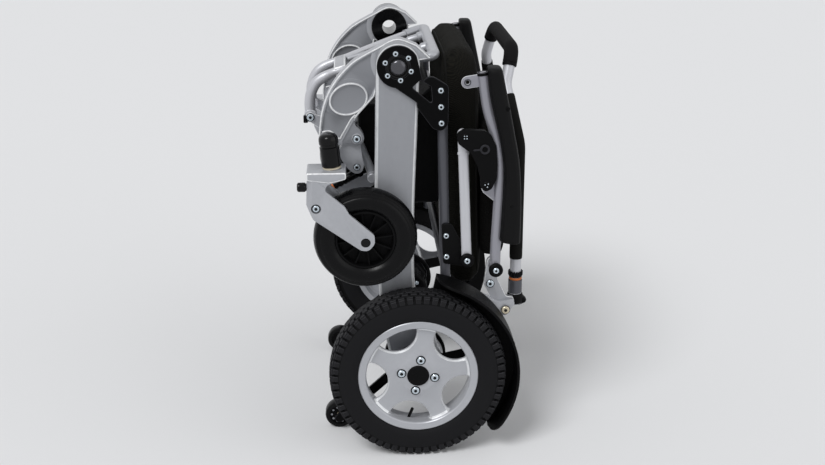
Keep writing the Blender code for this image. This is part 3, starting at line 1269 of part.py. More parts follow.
def make_arm_bracket():
    """Moulded black bracket that joins the link to the armrest tube and clamps it."""
    y0 = arm_bracket_inner()
    y1 = ARM_PLANE + ARM_TUBE_RADIUS + ARM_BRACKET_WALL
    outline = rounded([(0.0650, 0.5950, 0.008), (0.0770, 0.6030, 0.006), (0.1120, 0.6010, 0.006), (0.1235, 0.5930, 0.006),
                       (0.1325, 0.5740, 0.010), (0.1350, 0.5420, 0.012), (0.1340, 0.5160, 0.010), (0.1260, 0.4990, 0.008),
                       (0.1150, 0.4935, 0.006), (0.1070, 0.5020, 0.006), (0.1060, 0.5180, 0.010), (0.1010, 0.5400, 0.014),
                       (0.0890, 0.5630, 0.014), (0.0680, 0.5790, 0.008)], 3)
    body = plate(outline, -y1, -y0, 0.0012, "outer")
    boss = cylinder(0.1130, 0.5690, 0.0085, -y1 - 0.0025, -y1 + 0.002, 16)
    return combined(body, adds=[boss], cuts=[tube_groove()])


def make_arm_link():
    """Oval bar with eye ends."""
    y = -link_plane()
    bottom = Vector((LINK_PIVOT_X, y, LINK_PIVOT_Z))
    top = Vector((LINK_TOP_X, y, LINK_TOP_Z))
    bar = tube([bottom, top], LINK_WIDTH / 2, 10, flat=LINK_THICK / LINK_WIDTH)
    along = (top - bottom).normalized()
    collar_at = bottom + along * ((top - bottom).length - 0.036)
    collar = tube([collar_at, collar_at + along * 0.005], LINK_WIDTH / 2 + 0.0013, 10,
                  flat=(LINK_THICK + 0.0006) / (LINK_WIDTH + 0.0026))
    half = LINK_THICK / 2
    eyes = [cylinder(p.x, p.z, LINK_WIDTH / 2 + 0.0005, y - half, y + half, 12) for p in (bottom, top)]
    bore = cylinder(LINK_PIVOT_X, LINK_PIVOT_Z, ARM_PIN_RADIUS + PIN_GAP, y - 0.02, y + 0.02)
    return combined(bar, adds=[collar] + eyes, cuts=[bore])


def make_arm_pad():
    """Curved pad on the tube's outer side, with a groove for the tube."""
    left = [(0.1150, 0.7090), (0.1185, 0.6680), (0.1290, 0.6200), (0.1395, 0.5760), (0.1455, 0.5340), (0.1460, 0.4980),
            (0.1445, 0.4500), (0.1425, 0.4010)]
    right = [(0.1790, 0.3970), (0.1790, 0.4400), (0.1780, 0.4830), (0.1730, 0.5440), (0.1620, 0.6020), (0.1490, 0.6620),
             (0.1390, 0.7090)]
    outline = smooth(left, 2) + smooth(right, 2)
    body = plate(outline, -(ARM_PLANE + PAD_WIDTH / 2), -(ARM_PLANE - PAD_WIDTH / 2), 0.005)
    return combined(body, cuts=[tube_groove()])


def tube_groove():
    """Room for the armrest tube in the pieces that hold it."""
    return tube([(x, -ARM_PLANE, z) for x, z in smooth(arm_spine(), 2)], ARM_TUBE_RADIUS + TOUCH_GAP, 10)


# Assembly

def build():
    clear_scene()
    root = pivot("rear_frame", 0.0, 0.0, 0.0)
    place_pair("rear_arm", make_rear_arm(), "silver", root, root)
    place_piece("rear_cross_tube", make_rear_tube(), "silver", root)
    place_piece("battery_pack", make_battery(), "black", root)
    place_pair("drive_motor", make_motor(), "black", root, root)
    place_pair("fender", make_fender(), "black", root, root)
    place_piece("hub_pivot_left", make_hub_pivot(True), "black", root)
    open_hub = make_hub_pivot(False)
    open_hub.transform(Matrix.Scale(-1.0, 4, Vector((0.0, 1.0, 0.0))))
    open_hub.flip_normals()
    place_piece("hub_pivot_right", open_hub, "black", root)

    wheel_left = pivot("wheel_left", 0.0, -WHEEL_PLANE, AXLE_Z, root)
    wheel_right = pivot("wheel_right", 0.0, WHEEL_PLANE, AXLE_Z, root)
    place_pair("rear_tyre", make_tyre(), "rubber", wheel_left, wheel_right)
    place_pair("rear_rim", make_rim(), "wheel", wheel_left, wheel_right)

    tip_left = pivot("tip_arm_left", 0.0, 0.0, AXLE_Z, root)
    tip_right = pivot("tip_arm_right", 0.0, 0.0, AXLE_Z, root)
    place_pair("anti_tip_arm", make_tip_arm(), "black", tip_left, tip_right)
    tip_wheel_left = pivot("tip_wheel_left", TIP_WHEEL_X, -TIP_WHEEL_PLANE, TIP_WHEEL_Z, tip_left)
    tip_wheel_right = pivot("tip_wheel_right", TIP_WHEEL_X, TIP_WHEEL_PLANE, TIP_WHEEL_Z, tip_right)
    place_pair("anti_tip_wheel", make_tip_wheel(), "rubber", tip_wheel_left, tip_wheel_right)

    front = pivot("front_frame", HUB_X, 0.0, HUB_Z, root)
    place_pair("front_arm", make_front_arm(), "silver", front, front)
    place_piece("front_cross_tube", make_front_tube(), "graphite", front)
    place_pair("fold_stop", make_stop_bar(), "polished", front, front)
    place_pair("damper", make_damper(), "black", front, front)
    place_piece("footrest_bracket", make_foot_bracket(), "silver", front)
    place_pair("caster_housing", make_stem_housing(), "black", front, front)

    for side, tag in ((-1, "left"), (1, "right")):
        pivot("caster_stem_" + tag, STEM_X, side * CASTER_PLANE, STEM_Z, front)
    stems = [bpy.data.objects["caster_stem_left"], bpy.data.objects["caster_stem_right"]]
    place_pair("caster_fork", make_fork(), "silver", *stems)
    axles = [pivot("caster_axle_" + tag, CASTER_AXLE_X, side * CASTER_PLANE, CASTER_AXLE_Z, stem)
             for side, tag, stem in ((-1, "left", stems[0]), (1, "right", stems[1]))]
    place_pair("caster_tyre", make_caster_tyre(), "rubber", *axles)
    place_pair("caster_rim", make_caster_rim(), "black", *axles)

    foot = pivot("footrest_pivot", FOOT_PIVOT_X, 0.0, FOOT_PIVOT_Z, front)
    place_piece("footrest_frame", make_foot_frame(), "polished", foot)
    place_piece("footplate", make_foot_plate(), "polished", foot)

    seat = pivot("seat_frame", HUB_X, 0.0, HUB_Z, root)
    place_pair("seat_tube", make_seat_tube(), "graphite", seat, seat)
    place_piece("seat_cross_front", make_seat_cross(SEAT_CROSS_HIGH_Z), "graphite", seat)
    place_piece("seat_cross_rear", make_seat_cross(SEAT_CROSS_LOW_Z), "graphite", seat)
    place_pair("hub_bracket", make_hub_bracket(), "black", seat, seat)
    place_pair("link_bracket", make_link_bracket(), "black", seat, seat)
    place_pair("seat_hinge", make_seat_hinge(), "silver", seat, seat)
    place_piece("seat_cushion", make_seat_cushion(), "fabric", seat)

    back = pivot("back_rest", BACK_PIVOT_X, 0.0, BACK_PIVOT_Z, seat)
    place_piece("back_frame", make_back_frame(), "polished", back)
    place_piece("push_grip", make_push_grip(), "rubber", back)
    place_piece("back_cushion", make_back_cushion(), "fabric", back)
    place_pair("back_casting", make_back_casting(), "silver", back, back)

    arm = pivot("armrests", ARM_PIVOT_X, 0.0, ARM_PIVOT_Z, back)
    place_pair("armrest_tube", make_arm_tube(), "polished", arm, arm)
    place_pair("armrest_bracket", make_arm_bracket(), "black", arm, arm)
    place_pair("armrest_pad", make_arm_pad(), "rubber", arm, arm)
    link = pivot("arm_links", LINK_PIVOT_X, 0.0, LINK_PIVOT_Z, seat)
    place_pair("armrest_link", make_arm_link(), "polished", link, link)


build()
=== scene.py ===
import json
import math

import bmesh
import bpy
from mathutils.bvhtree import BVHTree
from mathutils import Matrix, Vector

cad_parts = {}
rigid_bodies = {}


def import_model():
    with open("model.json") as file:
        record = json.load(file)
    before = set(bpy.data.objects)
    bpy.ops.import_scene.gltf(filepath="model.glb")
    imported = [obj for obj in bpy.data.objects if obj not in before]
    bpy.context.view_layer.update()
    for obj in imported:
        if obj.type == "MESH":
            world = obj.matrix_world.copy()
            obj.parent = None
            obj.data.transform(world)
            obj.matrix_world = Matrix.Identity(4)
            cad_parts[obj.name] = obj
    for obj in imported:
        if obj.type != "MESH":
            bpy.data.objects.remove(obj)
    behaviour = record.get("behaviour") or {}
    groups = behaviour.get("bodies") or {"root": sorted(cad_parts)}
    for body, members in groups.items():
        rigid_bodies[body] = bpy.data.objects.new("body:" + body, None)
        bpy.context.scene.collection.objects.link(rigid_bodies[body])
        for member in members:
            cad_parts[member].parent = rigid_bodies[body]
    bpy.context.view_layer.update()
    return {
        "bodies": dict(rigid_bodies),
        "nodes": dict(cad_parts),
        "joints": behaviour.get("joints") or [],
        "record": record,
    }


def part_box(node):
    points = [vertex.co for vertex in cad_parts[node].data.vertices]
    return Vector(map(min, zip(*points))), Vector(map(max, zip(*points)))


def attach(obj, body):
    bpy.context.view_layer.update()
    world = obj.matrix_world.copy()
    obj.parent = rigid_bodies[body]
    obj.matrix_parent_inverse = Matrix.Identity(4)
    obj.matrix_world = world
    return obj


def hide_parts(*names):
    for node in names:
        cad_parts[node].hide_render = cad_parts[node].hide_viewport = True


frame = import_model()
print("stage: frame loaded")


# Colours and node helpers

def toLinear(hexColour):
    channels = [int(hexColour[i:i + 2], 16) / 255 for i in (1, 3, 5)]
    return [c / 12.92 if c <= 0.04045 else ((c + 0.055) / 1.055) ** 2.4 for c in channels] + [1.0]


def shade(hexColour, factor):
    return [min(1.0, c * factor) for c in toLinear(hexColour)[:3]] + [1.0]


def addNode(tree, kind, links=None, **values):
    node = tree.nodes.new(kind)
    for name, value in values.items():
        setattr(node, name, value)
    for socket, source in (links or {}).items():
        if isinstance(source, bpy.types.NodeSocket):
            tree.links.new(source, node.inputs[socket])
        else:
            node.inputs[socket].default_value = source
    return node


def span(low, high, fromLow=0.3, fromHigh=0.7):  # Map Range settings; a noise lies mostly between 0.3 and 0.7
    return {"From Min": fromLow, "From Max": fromHigh, "To Min": low, "To Max": high}


def newMaterial(name):
    material = bpy.data.materials.new(name)
    material.use_nodes = True
    return material, material.node_tree, material.node_tree.nodes["Principled BSDF"]


# One finish for each real surface. Sizes are in metres. The edge tone is a painted highlight on the faces
# marked as edges, and the panel tone is darker, in the sunk panels and as painted shade in sockets, grooves
# and round bolt heads. Patch is the size of the cloudy change, grain that of the texture.
finishes = {
    # Die cast aluminium in silver lacquer: even grey with a soft sheen; its edges carry a bright painted
    # highlight
    "silverLacquer": dict(tone="#A9ABB0", edge="#F0F1F2", panel="#8A8C91", metallic=0.3, rough=0.36,
                          roughSpread=0.06, toneSpread=0.06, patch=(0.03, 0.03, 0.045)),
    # The same lacquer on the large arms, a shade greyer
    "greyLacquer": dict(tone="#929499", edge="#D8DADC", metallic=0.3, rough=0.42, roughSpread=0.06,
                        toneSpread=0.06, patch=(0.04, 0.04, 0.07)),
    # Drawn aluminium tube, clear anodised: bright, with faint streaks along its length
    "anodisedTube": dict(tone="#92929A", edge="#E8EAEC", metallic=0.38, rough=0.33, roughSpread=0.03,
                         toneSpread=0.03, patch=(0.012, 0.012, 0.16)),
    # The same tube polished before it is anodised, near white
    "brightTube": dict(tone="#C0C1C6", edge="#F0F1F2", metallic=0.3, rough=0.38, roughSpread=0.03,
                       toneSpread=0.03, patch=(0.012, 0.012, 0.16)),
    # Steel tube in grey metallic powder coat: darker, fine and even
    "graphiteCoat": dict(tone="#4D4E54", edge="#83848A", metallic=0.35, rough=0.38, roughSpread=0.06,
                         toneSpread=0.08, patch=(0.01, 0.01, 0.08)),
    # Steel in black powder coat: deep black and satin; its edges are painted lighter as a highlight
    "blackCoat": dict(tone="#050506", edge="#343438", metallic=0.0, rough=0.36, roughSpread=0.08,
                      toneSpread=0.2, patch=(0.025, 0.025, 0.025), specular=0.07),
    # Moulded glass filled nylon: dull black with a faint spark erosion grain
    "mouldedNylon": dict(tone="#09090A", edge="#1E1E20", metallic=0.0, rough=0.52, roughSpread=0.08,
                         toneSpread=0.2,
                         patch=(0.022, 0.022, 0.022), grain=0.0016, depth=0.00003, specular=0.08),
    # Polished ABS: black, clear reflections
    "polishedAbs": dict(tone="#030304", edge="#101012", metallic=0.0, rough=0.16, roughSpread=0.05,
                        toneSpread=0.15, patch=(0.03, 0.03, 0.03), specular=0.22),
    # Black chrome on the hub's dome: dark mirror
    "blackChrome": dict(tone="#56565A", edge=None, metallic=0.85, rough=0.18, roughSpread=0.04,
                        toneSpread=0.1, patch=(0.02, 0.02, 0.02)),
    # Vulcanised tyre rubber: charcoal, dusty in patches; the panel tone is painted shade in the grooves
    # between the tread blocks
    "tyreRubber": dict(tone="#161618", edge="#2A2A2C", panel="#040405", metallic=0.0, rough=0.68,
                       roughSpread=0.08, toneSpread=0.3,
                       patch=(0.018, 0.018, 0.018), grain=0.002, depth=0.00006, specular=0.12),
    # The same rubber on the tread blocks and side lugs, painted a little lighter than the sidewall as light
    # on the blocks
    "treadRubber": dict(tone="#1B1B1D", edge="#2C2C2F", metallic=0.0, rough=0.62, roughSpread=0.08,
                        toneSpread=0.3,
                        patch=(0.018, 0.018, 0.018), grain=0.002, depth=0.00006, specular=0.14),
    # Solid polyurethane caster: smooth black with a wider highlight
    "casterRubber": dict(tone="#030304", edge="#18181A", metallic=0.0, rough=0.3, roughSpread=0.05,
                         toneSpread=0.18, patch=(0.026, 0.026, 0.026), specular=0.16),
    # Cast aluminium wheel in silver paint
    "wheelPaint": dict(tone="#ABADB2", edge="#E6E8EA", metallic=0.3, rough=0.34, roughSpread=0.04,
                       toneSpread=0.04, patch=(0.04, 0.04, 0.04)),
    # EVA foam of the push grip: matte black, closed cells
    "evaFoam": dict(tone="#121112", edge=None, metallic=0.0, rough=0.84, roughSpread=0.06, toneSpread=0.22,
                    patch=(0.008, 0.008, 0.008), grain=0.0022, depth=0.00012, specular=0.1),
    # Self skinned polyurethane pad: black with a leather like grain
    "padSkin": dict(tone="#0C0C0D", edge="#1C1C1E", metallic=0.0, rough=0.58, roughSpread=0.07,
                    toneSpread=0.2, patch=(0.014, 0.014, 0.014), grain=0.003, depth=0.00014, specular=0.12),
    # Zinc plated steel: cool bright metal; its panel tone is painted shade in bolt sockets and a painted
    # shadow round bolt heads
    "zincPlate": dict(tone="#C4CED6", edge="#E8EEF2", panel="#141517", metallic=0.6, rough=0.24,
                      roughSpread=0.08, toneSpread=0.08,
                      patch=(0.004, 0.004, 0.004)),
    # Yellow passivated washer: warm metal; its panel tone is painted shade in bolt sockets and a painted
    # shadow round bolt heads
    "yellowZinc": dict(tone="#CDC3AC", edge="#EDE7D8", panel="#1A1916", metallic=0.3, rough=0.3,
                       roughSpread=0.06, toneSpread=0.1,
                       patch=(0.004, 0.004, 0.004)),
    # Cast polyurethane ring: orange, satin
    "orangeRing": dict(tone="#B8642A", edge="#D48A50", metallic=0.0, rough=0.45, roughSpread=0.06,
                       toneSpread=0.12, patch=(0.006, 0.006, 0.006)),
    # Woven tape of the piping and of the tube sleeves: near black
    "wovenTape": dict(tone="#131312", edge=None, metallic=0.0, rough=0.86, roughSpread=0.05, toneSpread=0.25,
                      patch=(0.003, 0.003, 0.003), grain=0.0016, depth=0.00015, specular=0.1),
}


def makeFinish(name, tone, edge, metallic, rough, roughSpread, toneSpread, patch, panel=None, grain=None,
               depth=0.0,
               specular=0.5):
    material, tree, shader = newMaterial(name)
    place = addNode(tree, "ShaderNodeTexCoord").outputs["Object"]
    sized = addNode(tree, "ShaderNodeMapping", {"Vector": place, "Scale": [1 / s for s in patch]}).outputs[0]
    cloud = addNode(tree, "ShaderNodeTexNoise", {"Vector": sized, "Detail": 3.0}).outputs["Fac"]
    # A Mix node's inputs 6 and 7 are its two colours, and its output 2 is their mix
    tones = {0: cloud, 6: shade(tone, 1 - toneSpread), 7: shade(tone, 1 + toneSpread)}
    colour = addNode(tree, "ShaderNodeMix", tones, data_type="RGBA").outputs[2]
    # Faces marked as panel take the darker panel tone: sunk panels, and painted shade and shadow on tyres and
    # bolts
    if panel:
        sunk = addNode(tree, "ShaderNodeAttribute", attribute_name="panel").outputs["Fac"]
        colour = addNode(tree, "ShaderNodeMix", {0: sunk, 6: colour, 7: toLinear(panel)},
                         data_type="RGBA").outputs[2]
    # Painted highlight: the faces marked as edges take the bright edge tone, patchy with the cloud
    if edge:
        highlightMark = addNode(tree, "ShaderNodeAttribute", attribute_name="edge").outputs["Fac"]
        patchy = addNode(tree, "ShaderNodeMapRange", {"Value": cloud, **span(0.65, 1.0)}).outputs[0]
        paintedHighlight = addNode(tree, "ShaderNodeMath", {0: highlightMark, 1: patchy}, operation="MULTIPLY").outputs[0]
        colour = addNode(tree, "ShaderNodeMix", {0: paintedHighlight, 6: colour, 7: toLinear(edge)},
                         data_type="RGBA").outputs[2]
    sheen = {"Value": cloud, **span(rough - roughSpread, rough + roughSpread)}
    tree.links.new(colour, shader.inputs["Base Color"])
    tree.links.new(addNode(tree, "ShaderNodeMapRange", sheen).outputs[0], shader.inputs["Roughness"])
    if grain:
        sized = addNode(tree, "ShaderNodeMapping", {"Vector": place, "Scale": [1 / grain] * 3}).outputs[0]
        fine = addNode(tree, "ShaderNodeTexNoise", {"Vector": sized, "Detail": 1.0}).outputs["Fac"]
        bump = addNode(tree, "ShaderNodeBump", {"Height": fine, "Strength": 0.5, "Distance": depth})
        tree.links.new(bump.outputs["Normal"], shader.inputs["Normal"])
    shader.inputs["Metallic"].default_value = metallic
    shader.inputs["Specular IOR Level"].default_value = specular
    return material


# Polyester spacer mesh, knitted in zigzag ribs. The real ribs are 3 mm apart, drawn wider so that they show.
meshes = {
    "seatMesh": dict(dark="#0A0A09", light="#191814", ribPitch=0.004, column=0.0046, rise=0.0042,
                     depth=0.0004),
    "backMesh": dict(dark="#090909", light="#151413", ribPitch=0.004, column=0.0046, rise=0.0042,
                     depth=0.0004),
}
meshPatch = 0.05  # Size of the cloudy change in the yarn's tone


def makeMesh(name, dark, light, ribPitch, column, rise, depth):
    material, tree, shader = newMaterial(name)
    place = addNode(tree, "ShaderNodeTexCoord").outputs["Object"]
    parts = addNode(tree, "ShaderNodeSeparateXYZ", {"Vector": place}).outputs
    height = parts["X"]
    for operation, amount in (("ADD", parts["Y"]), ("DIVIDE", column), ("PINGPONG", 1.0), ("MULTIPLY", rise),
                              ("ADD", parts["Z"]), ("MULTIPLY", 2 * math.pi / ribPitch), ("SINE", 0.0)):
        height = addNode(tree, "ShaderNodeMath", {0: height, 1: amount}, operation=operation).outputs[0]
    sized = addNode(tree, "ShaderNodeMapping", {"Vector": place, "Scale": [1 / meshPatch] * 3}).outputs[0]
    cloud = addNode(tree, "ShaderNodeTexNoise", {"Vector": sized, "Detail": 2.0}).outputs["Fac"]
    yarn = addNode(tree, "ShaderNodeMix", {0: cloud, 6: shade(light, 0.75), 7: shade(light, 1.25)},
                   data_type="RGBA")
    ribs = addNode(tree, "ShaderNodeMapRange", {"Value": height, **span(0.0, 1.0, -1.0, 1.0)})
    colour = addNode(tree, "ShaderNodeMix", {0: ribs.outputs[0], 6: toLinear(dark), 7: yarn.outputs[2]},
                     data_type="RGBA")
    sheen = addNode(tree, "ShaderNodeMapRange", {"Value": cloud, **span(0.84, 0.94)})
    bump = addNode(tree, "ShaderNodeBump", {"Height": height, "Strength": 0.5, "Distance": depth})
    tree.links.new(colour.outputs[2], shader.inputs["Base Color"])
    tree.links.new(sheen.outputs[0], shader.inputs["Roughness"])
    tree.links.new(bump.outputs["Normal"], shader.inputs["Normal"])
    shader.inputs["Specular IOR Level"].default_value = 0.08
    return material


looks = {name: makeFinish(name, **settings) for name, settings in finishes.items()}
looks.update({name: makeMesh(name, **settings) for name, settings in meshes.items()})
print("stage: materials made")


# Shape helpers

def toObject(form, name):
    bmesh.ops.recalc_face_normals(form, faces=form.faces)
    mesh = bpy.data.meshes.new(name)
    form.to_mesh(mesh)
    form.free()
    piece = bpy.data.objects.new(name, mesh)
    bpy.context.scene.collection.objects.link(piece)
    return piece


def polar(centre, radius, degrees):
    turn = math.radians(degrees)
    return (centre[0] + radius * math.cos(turn), centre[1] + radius * math.sin(turn))


def arcPoints(centre, radius, start, end, steps):
    return [polar(centre, radius, start + (end - start) * i / steps) for i in range(steps + 1)]


def ovalPoints(centre, longRadius, shortRadius, tilt, steps=64):
    turn = math.radians(tilt)
    points = []
    for i in range(steps):
        a = 2 * math.pi * i / steps
        x = longRadius * math.cos(a)
        z = shortRadius * math.sin(a)
        points.append((centre[0] + x * math.cos(turn) - z * math.sin(turn),
                       centre[1] + x * math.sin(turn) + z * math.cos(turn)))
    return points


def filleted(corners, steps=6):  # Closed outline in XZ with a fillet at each corner (x, z, radius)
    points = []
    for i, (x, z, radius) in enumerate(corners):
        here = Vector((x, z))
        before = Vector(corners[i - 1][:2]) - here
        after = Vector(corners[(i + 1) % len(corners)][:2]) - here
        half = before.angle(after) / 2
        if radius <= 0 or half > 1.54:
            points.append((x, z))
            continue
        reach = min(radius / math.tan(half), before.length * 0.49, after.length * 0.49)
        radius = reach * math.tan(half)
        middle = here + (before.normalized() + after.normalized()).normalized() * (radius / math.sin(half))
        start = here + before.normalized() * reach - middle
        sweep = start.angle_signed(here + after.normalized() * reach - middle)
        for k in range(steps + 1):
            turn = -sweep * k / steps
            points.append((middle.x + start.x * math.cos(turn) - start.y * math.sin(turn),
                           middle.y + start.x * math.sin(turn) + start.y * math.cos(turn)))
    return points


def curved(points, steps=6):  # Smooth open curve through the given points
    path = [Vector(p) for p in points]
    result = []
    for i in range(len(path) - 1):
        a = path[max(i - 1, 0)]
        b = path[i]
        c = path[i + 1]
        d = path[min(i + 2, len(path) - 1)]
        for k in range(steps):
            t = k / steps
            result.append(0.5 * (2 * b + (c - a) * t + (2 * a - 5 * b + 4 * c - d) * t * t
                                 + (3 * b - a - 3 * c + d) * t ** 3))
    result.append(path[-1])
    return result


def bentPath(points, radius, steps=10):  # Route with a rounded bend at each inner corner
    path = [Vector(p) for p in points]
    result = [path[0]]
    for i in range(1, len(path) - 1):
        before = path[i - 1] - path[i]
        after = path[i + 1] - path[i]
        half = before.angle(after) / 2
        reach = min(radius / math.tan(half), before.length * 0.49, after.length * 0.49)
        start = path[i] + before.normalized() * reach
        end = path[i] + after.normalized() * reach
        for k in range(steps + 1):
            t = k / steps
            result.append((1 - t) ** 2 * start + 2 * t * (1 - t) * path[i] + t * t * end)
    result.append(path[-1])
    return result


def loftPiece(name, rows, closed=False):  # Skin over rows of points, with flat ends or closed to a ring
    form = bmesh.new()
    rings = [[form.verts.new(point) for point in row] for row in rows]
    for a, b in list(zip(rings, rings[1:])) + ([(rings[-1], rings[0])] if closed else []):
        for k in range(len(a)):
            j = (k + 1) % len(a)
            form.faces.new((a[k], a[j], b[j], b[k]))
    if not closed:
        form.faces.new(rings[0])
        form.faces.new(rings[-1])
    return toObject(form, name)


def turnedPiece(name, profile, centre, steps=96):  # Profile of (radius, y) turned about a line along Y
    form = bmesh.new()
    turns = [2 * math.pi * i / steps for i in range(steps)]
    rows = []
    for radius, y in profile:
        spots = [(radius * math.sin(a), -radius * math.cos(a)) for a in (turns if radius > 1e-7 else [0.0])]
        rows.append([form.verts.new((centre[0] + x, y, centre[1] + z)) for x, z in spots])
    closed = profile[0][0] > 1e-7
    for k in range(len(rows) if closed else len(rows) - 1):
        a = rows[k]
        b = rows[(k + 1) % len(rows)]
        for i in range(steps):
            j = (i + 1) % steps
            if len(a) == 1:
                form.faces.new((a[0], b[i], b[j]))
            elif len(b) == 1:
                form.faces.new((a[i], a[j], b[0]))
            else:
                form.faces.new((a[i], a[j], b[j], b[i]))
    return toObject(form, name)


def turnedAlong(name, profile, base, direction,
                steps=48):  # Profile of (radius, height) turned about a leaning line
    piece = turnedPiece(name, profile, (0.0, 0.0), steps)
    turn = Vector(direction).to_track_quat("Y", "Z").to_matrix().to_4x4()
    piece.data.transform(Matrix.Translation(Vector(base)) @ turn)
    return piece


def rodProfile(radius, low, high, edge=0.0008):  # Profile of a rod with its two rims bevelled
    return [(0.0, low), (radius - edge, low), (radius, low + edge), (radius, high - edge),
            (radius - edge, high), (0.0, high)]


def pinPiece(spot, radius, y0, y1, steps=32):
    return turnedPiece("pin", [(0.0, y0), (radius, y0), (radius, y1), (0.0, y1)], spot, steps)


def barPiece(name, start, end, radius, sides=32):
    way = Vector(end) - Vector(start)
    return turnedAlong(name, rodProfile(radius, 0.0, way.length), start, way, sides)


# Round or oval bar along a path; flat scales it across its side direction
def sweptPiece(name, path, radius, sides=28, flat=1.0, closed=False, side=(0.0, 1.0, 0.0)):
    path = [Vector(p) for p in path]
    turns = [2 * math.pi * k / sides for k in range(sides)]
    rows = []
    side = Vector(side)
    last = len(path) - 1
    for i, here in enumerate(path):
        if closed:
            ahead = (path[(i + 1) % len(path)] - path[i - 1]).normalized()
        else:
            ahead = (path[min(i + 1, last)] - path[max(i - 1, 0)]).normalized()
        if i == 0 and abs(ahead.dot(side)) > 0.9:
            side = Vector((1.0, 0.0, 0.0))
        side = (side - ahead * side.dot(ahead)).normalized()
        other = ahead.cross(side)
        size = radius(i / last) if callable(radius) else radius
        rows.append([here + side * (size * flat * math.cos(a)) + other * (size * math.sin(a)) for a in turns])
    return loftPiece(name, rows, closed)


def platePiece(name, outline, y0, y1):
    form = bmesh.new()
    ring = [form.verts.new((x, min(y0, y1), z)) for x, z in outline]
    bmesh.ops.remove_doubles(form, verts=ring, dist=1e-5)
    pushed = bmesh.ops.extrude_face_region(form, geom=[form.faces.new(list(form.verts))])
    moved = [v for v in pushed["geom"] if isinstance(v, bmesh.types.BMVert)]
    bmesh.ops.translate(form, verts=moved, vec=(0.0, abs(y1 - y0), 0.0))
    return toObject(form, name)


def holePiece(spot, radius, y0=-0.3, y1=-0.1, steps=64):
    return platePiece("hole", arcPoints(spot, radius, 0, 360 * (1 - 1 / steps), steps - 1), y0, y1)


def blockPiece(name, low, high):
    form = bmesh.new()
    bmesh.ops.create_cube(form, size=1.0)
    for v in form.verts:
        v.co = [low[k] if v.co[k] < 0 else high[k] for k in range(3)]
    return toObject(form, name)


def bakeModifiers(piece):
    bpy.context.view_layer.update()
    graph = bpy.context.evaluated_depsgraph_get()
    mesh = bpy.data.meshes.new_from_object(piece.evaluated_get(graph))
    old = piece.data
    piece.modifiers.clear()
    piece.data = mesh
    bpy.data.meshes.remove(old)


def joined(base, others, operation="UNION"):  # Adds the others to the base, or cuts them from it
    for other in others:
        step = base.modifiers.new(operation.lower(), "BOOLEAN")
        step.operation = operation
        step.solver = "EXACT"
        step.object = other
    bakeModifiers(base)
    for other in others:
        bpy.data.objects.remove(other, do_unlink=True)
    return base


def carved(base, tools):
    return joined(base, tools, "DIFFERENCE")


def rounded(piece, width, segments=2, limit=32):  # Rounds the edges and marks the faces of the rounding, which take the painted edge highlight
    form = bmesh.new()
    form.from_mesh(piece.data)
    bmesh.ops.remove_doubles(form, verts=form.verts, dist=2e-5)
    bmesh.ops.dissolve_limit(form, angle_limit=math.radians(0.4), verts=form.verts, edges=form.edges)
    for face in form.faces:
        face.material_index = 0
    form.to_mesh(piece.data)
    form.free()
    old = piece.data.attributes.get("edge")
    kept = [item.value for item in old.data] if old else None
    step = piece.modifiers.new("bevel", "BEVEL")
    step.width = width
    step.segments = segments
    step.limit_method = "ANGLE"
    step.angle_limit = math.radians(limit)
    step.use_clamp_overlap = True
    step.material = 1
    piece.data.materials.clear()
    for _ in range(2):
        piece.data.materials.append(None)
    bakeModifiers(piece)
    marks = [1.0 if face.material_index == 1 else 0.0 for face in piece.data.polygons]
    layer = piece.data.attributes.get("edge") or piece.data.attributes.new("edge", "FLOAT", "FACE")
    if kept and len(layer.data) == len(marks):
        marks = [max(a, item.value) for a, item in zip(marks, layer.data)]
    layer.data.foreach_set("value", marks)
    for face in piece.data.polygons:
        face.material_index = 0
    return piece


def awayFrom(spot, face):
    return math.hypot(face.center.x - spot[0], face.center.z - spot[1])


def markFaces(piece, layerName, test):  # Marks faces for the painted edge highlight or the darker panel tone
    layer = piece.data.attributes.get(layerName) or piece.data.attributes.new(layerName, "FLOAT", "FACE")
    layer.data.foreach_set("value", [1.0 if test(face) else 0.0 for face in piece.data.polygons])


def finishPiece(piece, look, body, replaced=(), sharp=30):
    piece.data.materials.clear()
    piece.data.materials.append(looks[look])
    piece.data.shade_smooth()
    piece.data.set_sharp_from_angle(angle=math.radians(sharp))
    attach(piece, body)
    if replaced:
        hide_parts(*replaced)
    return piece


def finishPair(piece, look, body, replaced=(), sharp=30):  # The near piece and its mirror image
    base = piece.name
    piece.name = base + "_left"
    other = piece.copy()
    other.data = piece.data.copy()
    other.name = base + "_right"
    bpy.context.scene.collection.objects.link(other)
    other.data.transform(Matrix.Scale(-1.0, 4, Vector((0.0, 1.0, 0.0))))
    other.data.flip_normals()
    return [finishPiece(item, look, body.replace("SIDE", tag), [n + "_" + tag for n in replaced],
                        sharp) for item, tag in ((piece, "left"), (other, "right"))]


# Repeats made with geometry nodes

def groupWith(name, inputs):
    tree = bpy.data.node_groups.new(name, "GeometryNodeTree")
    tree.interface.new_socket("Geometry", in_out="INPUT", socket_type="NodeSocketGeometry")
    for label, kind in inputs:
        tree.interface.new_socket(label, in_out="INPUT", socket_type=kind)
    tree.interface.new_socket("Geometry", in_out="OUTPUT", socket_type="NodeSocketGeometry")
    return tree


def finishGroup(tree, placed, source):
    real = addNode(tree, "GeometryNodeRealizeInstances", {"Geometry": placed})
    coated = addNode(tree, "GeometryNodeSetMaterial",
                     {"Geometry": real.outputs["Geometry"], "Material": source.outputs["Material"]})
    addNode(tree, "NodeGroupOutput", {"Geometry": coated.outputs["Geometry"]})


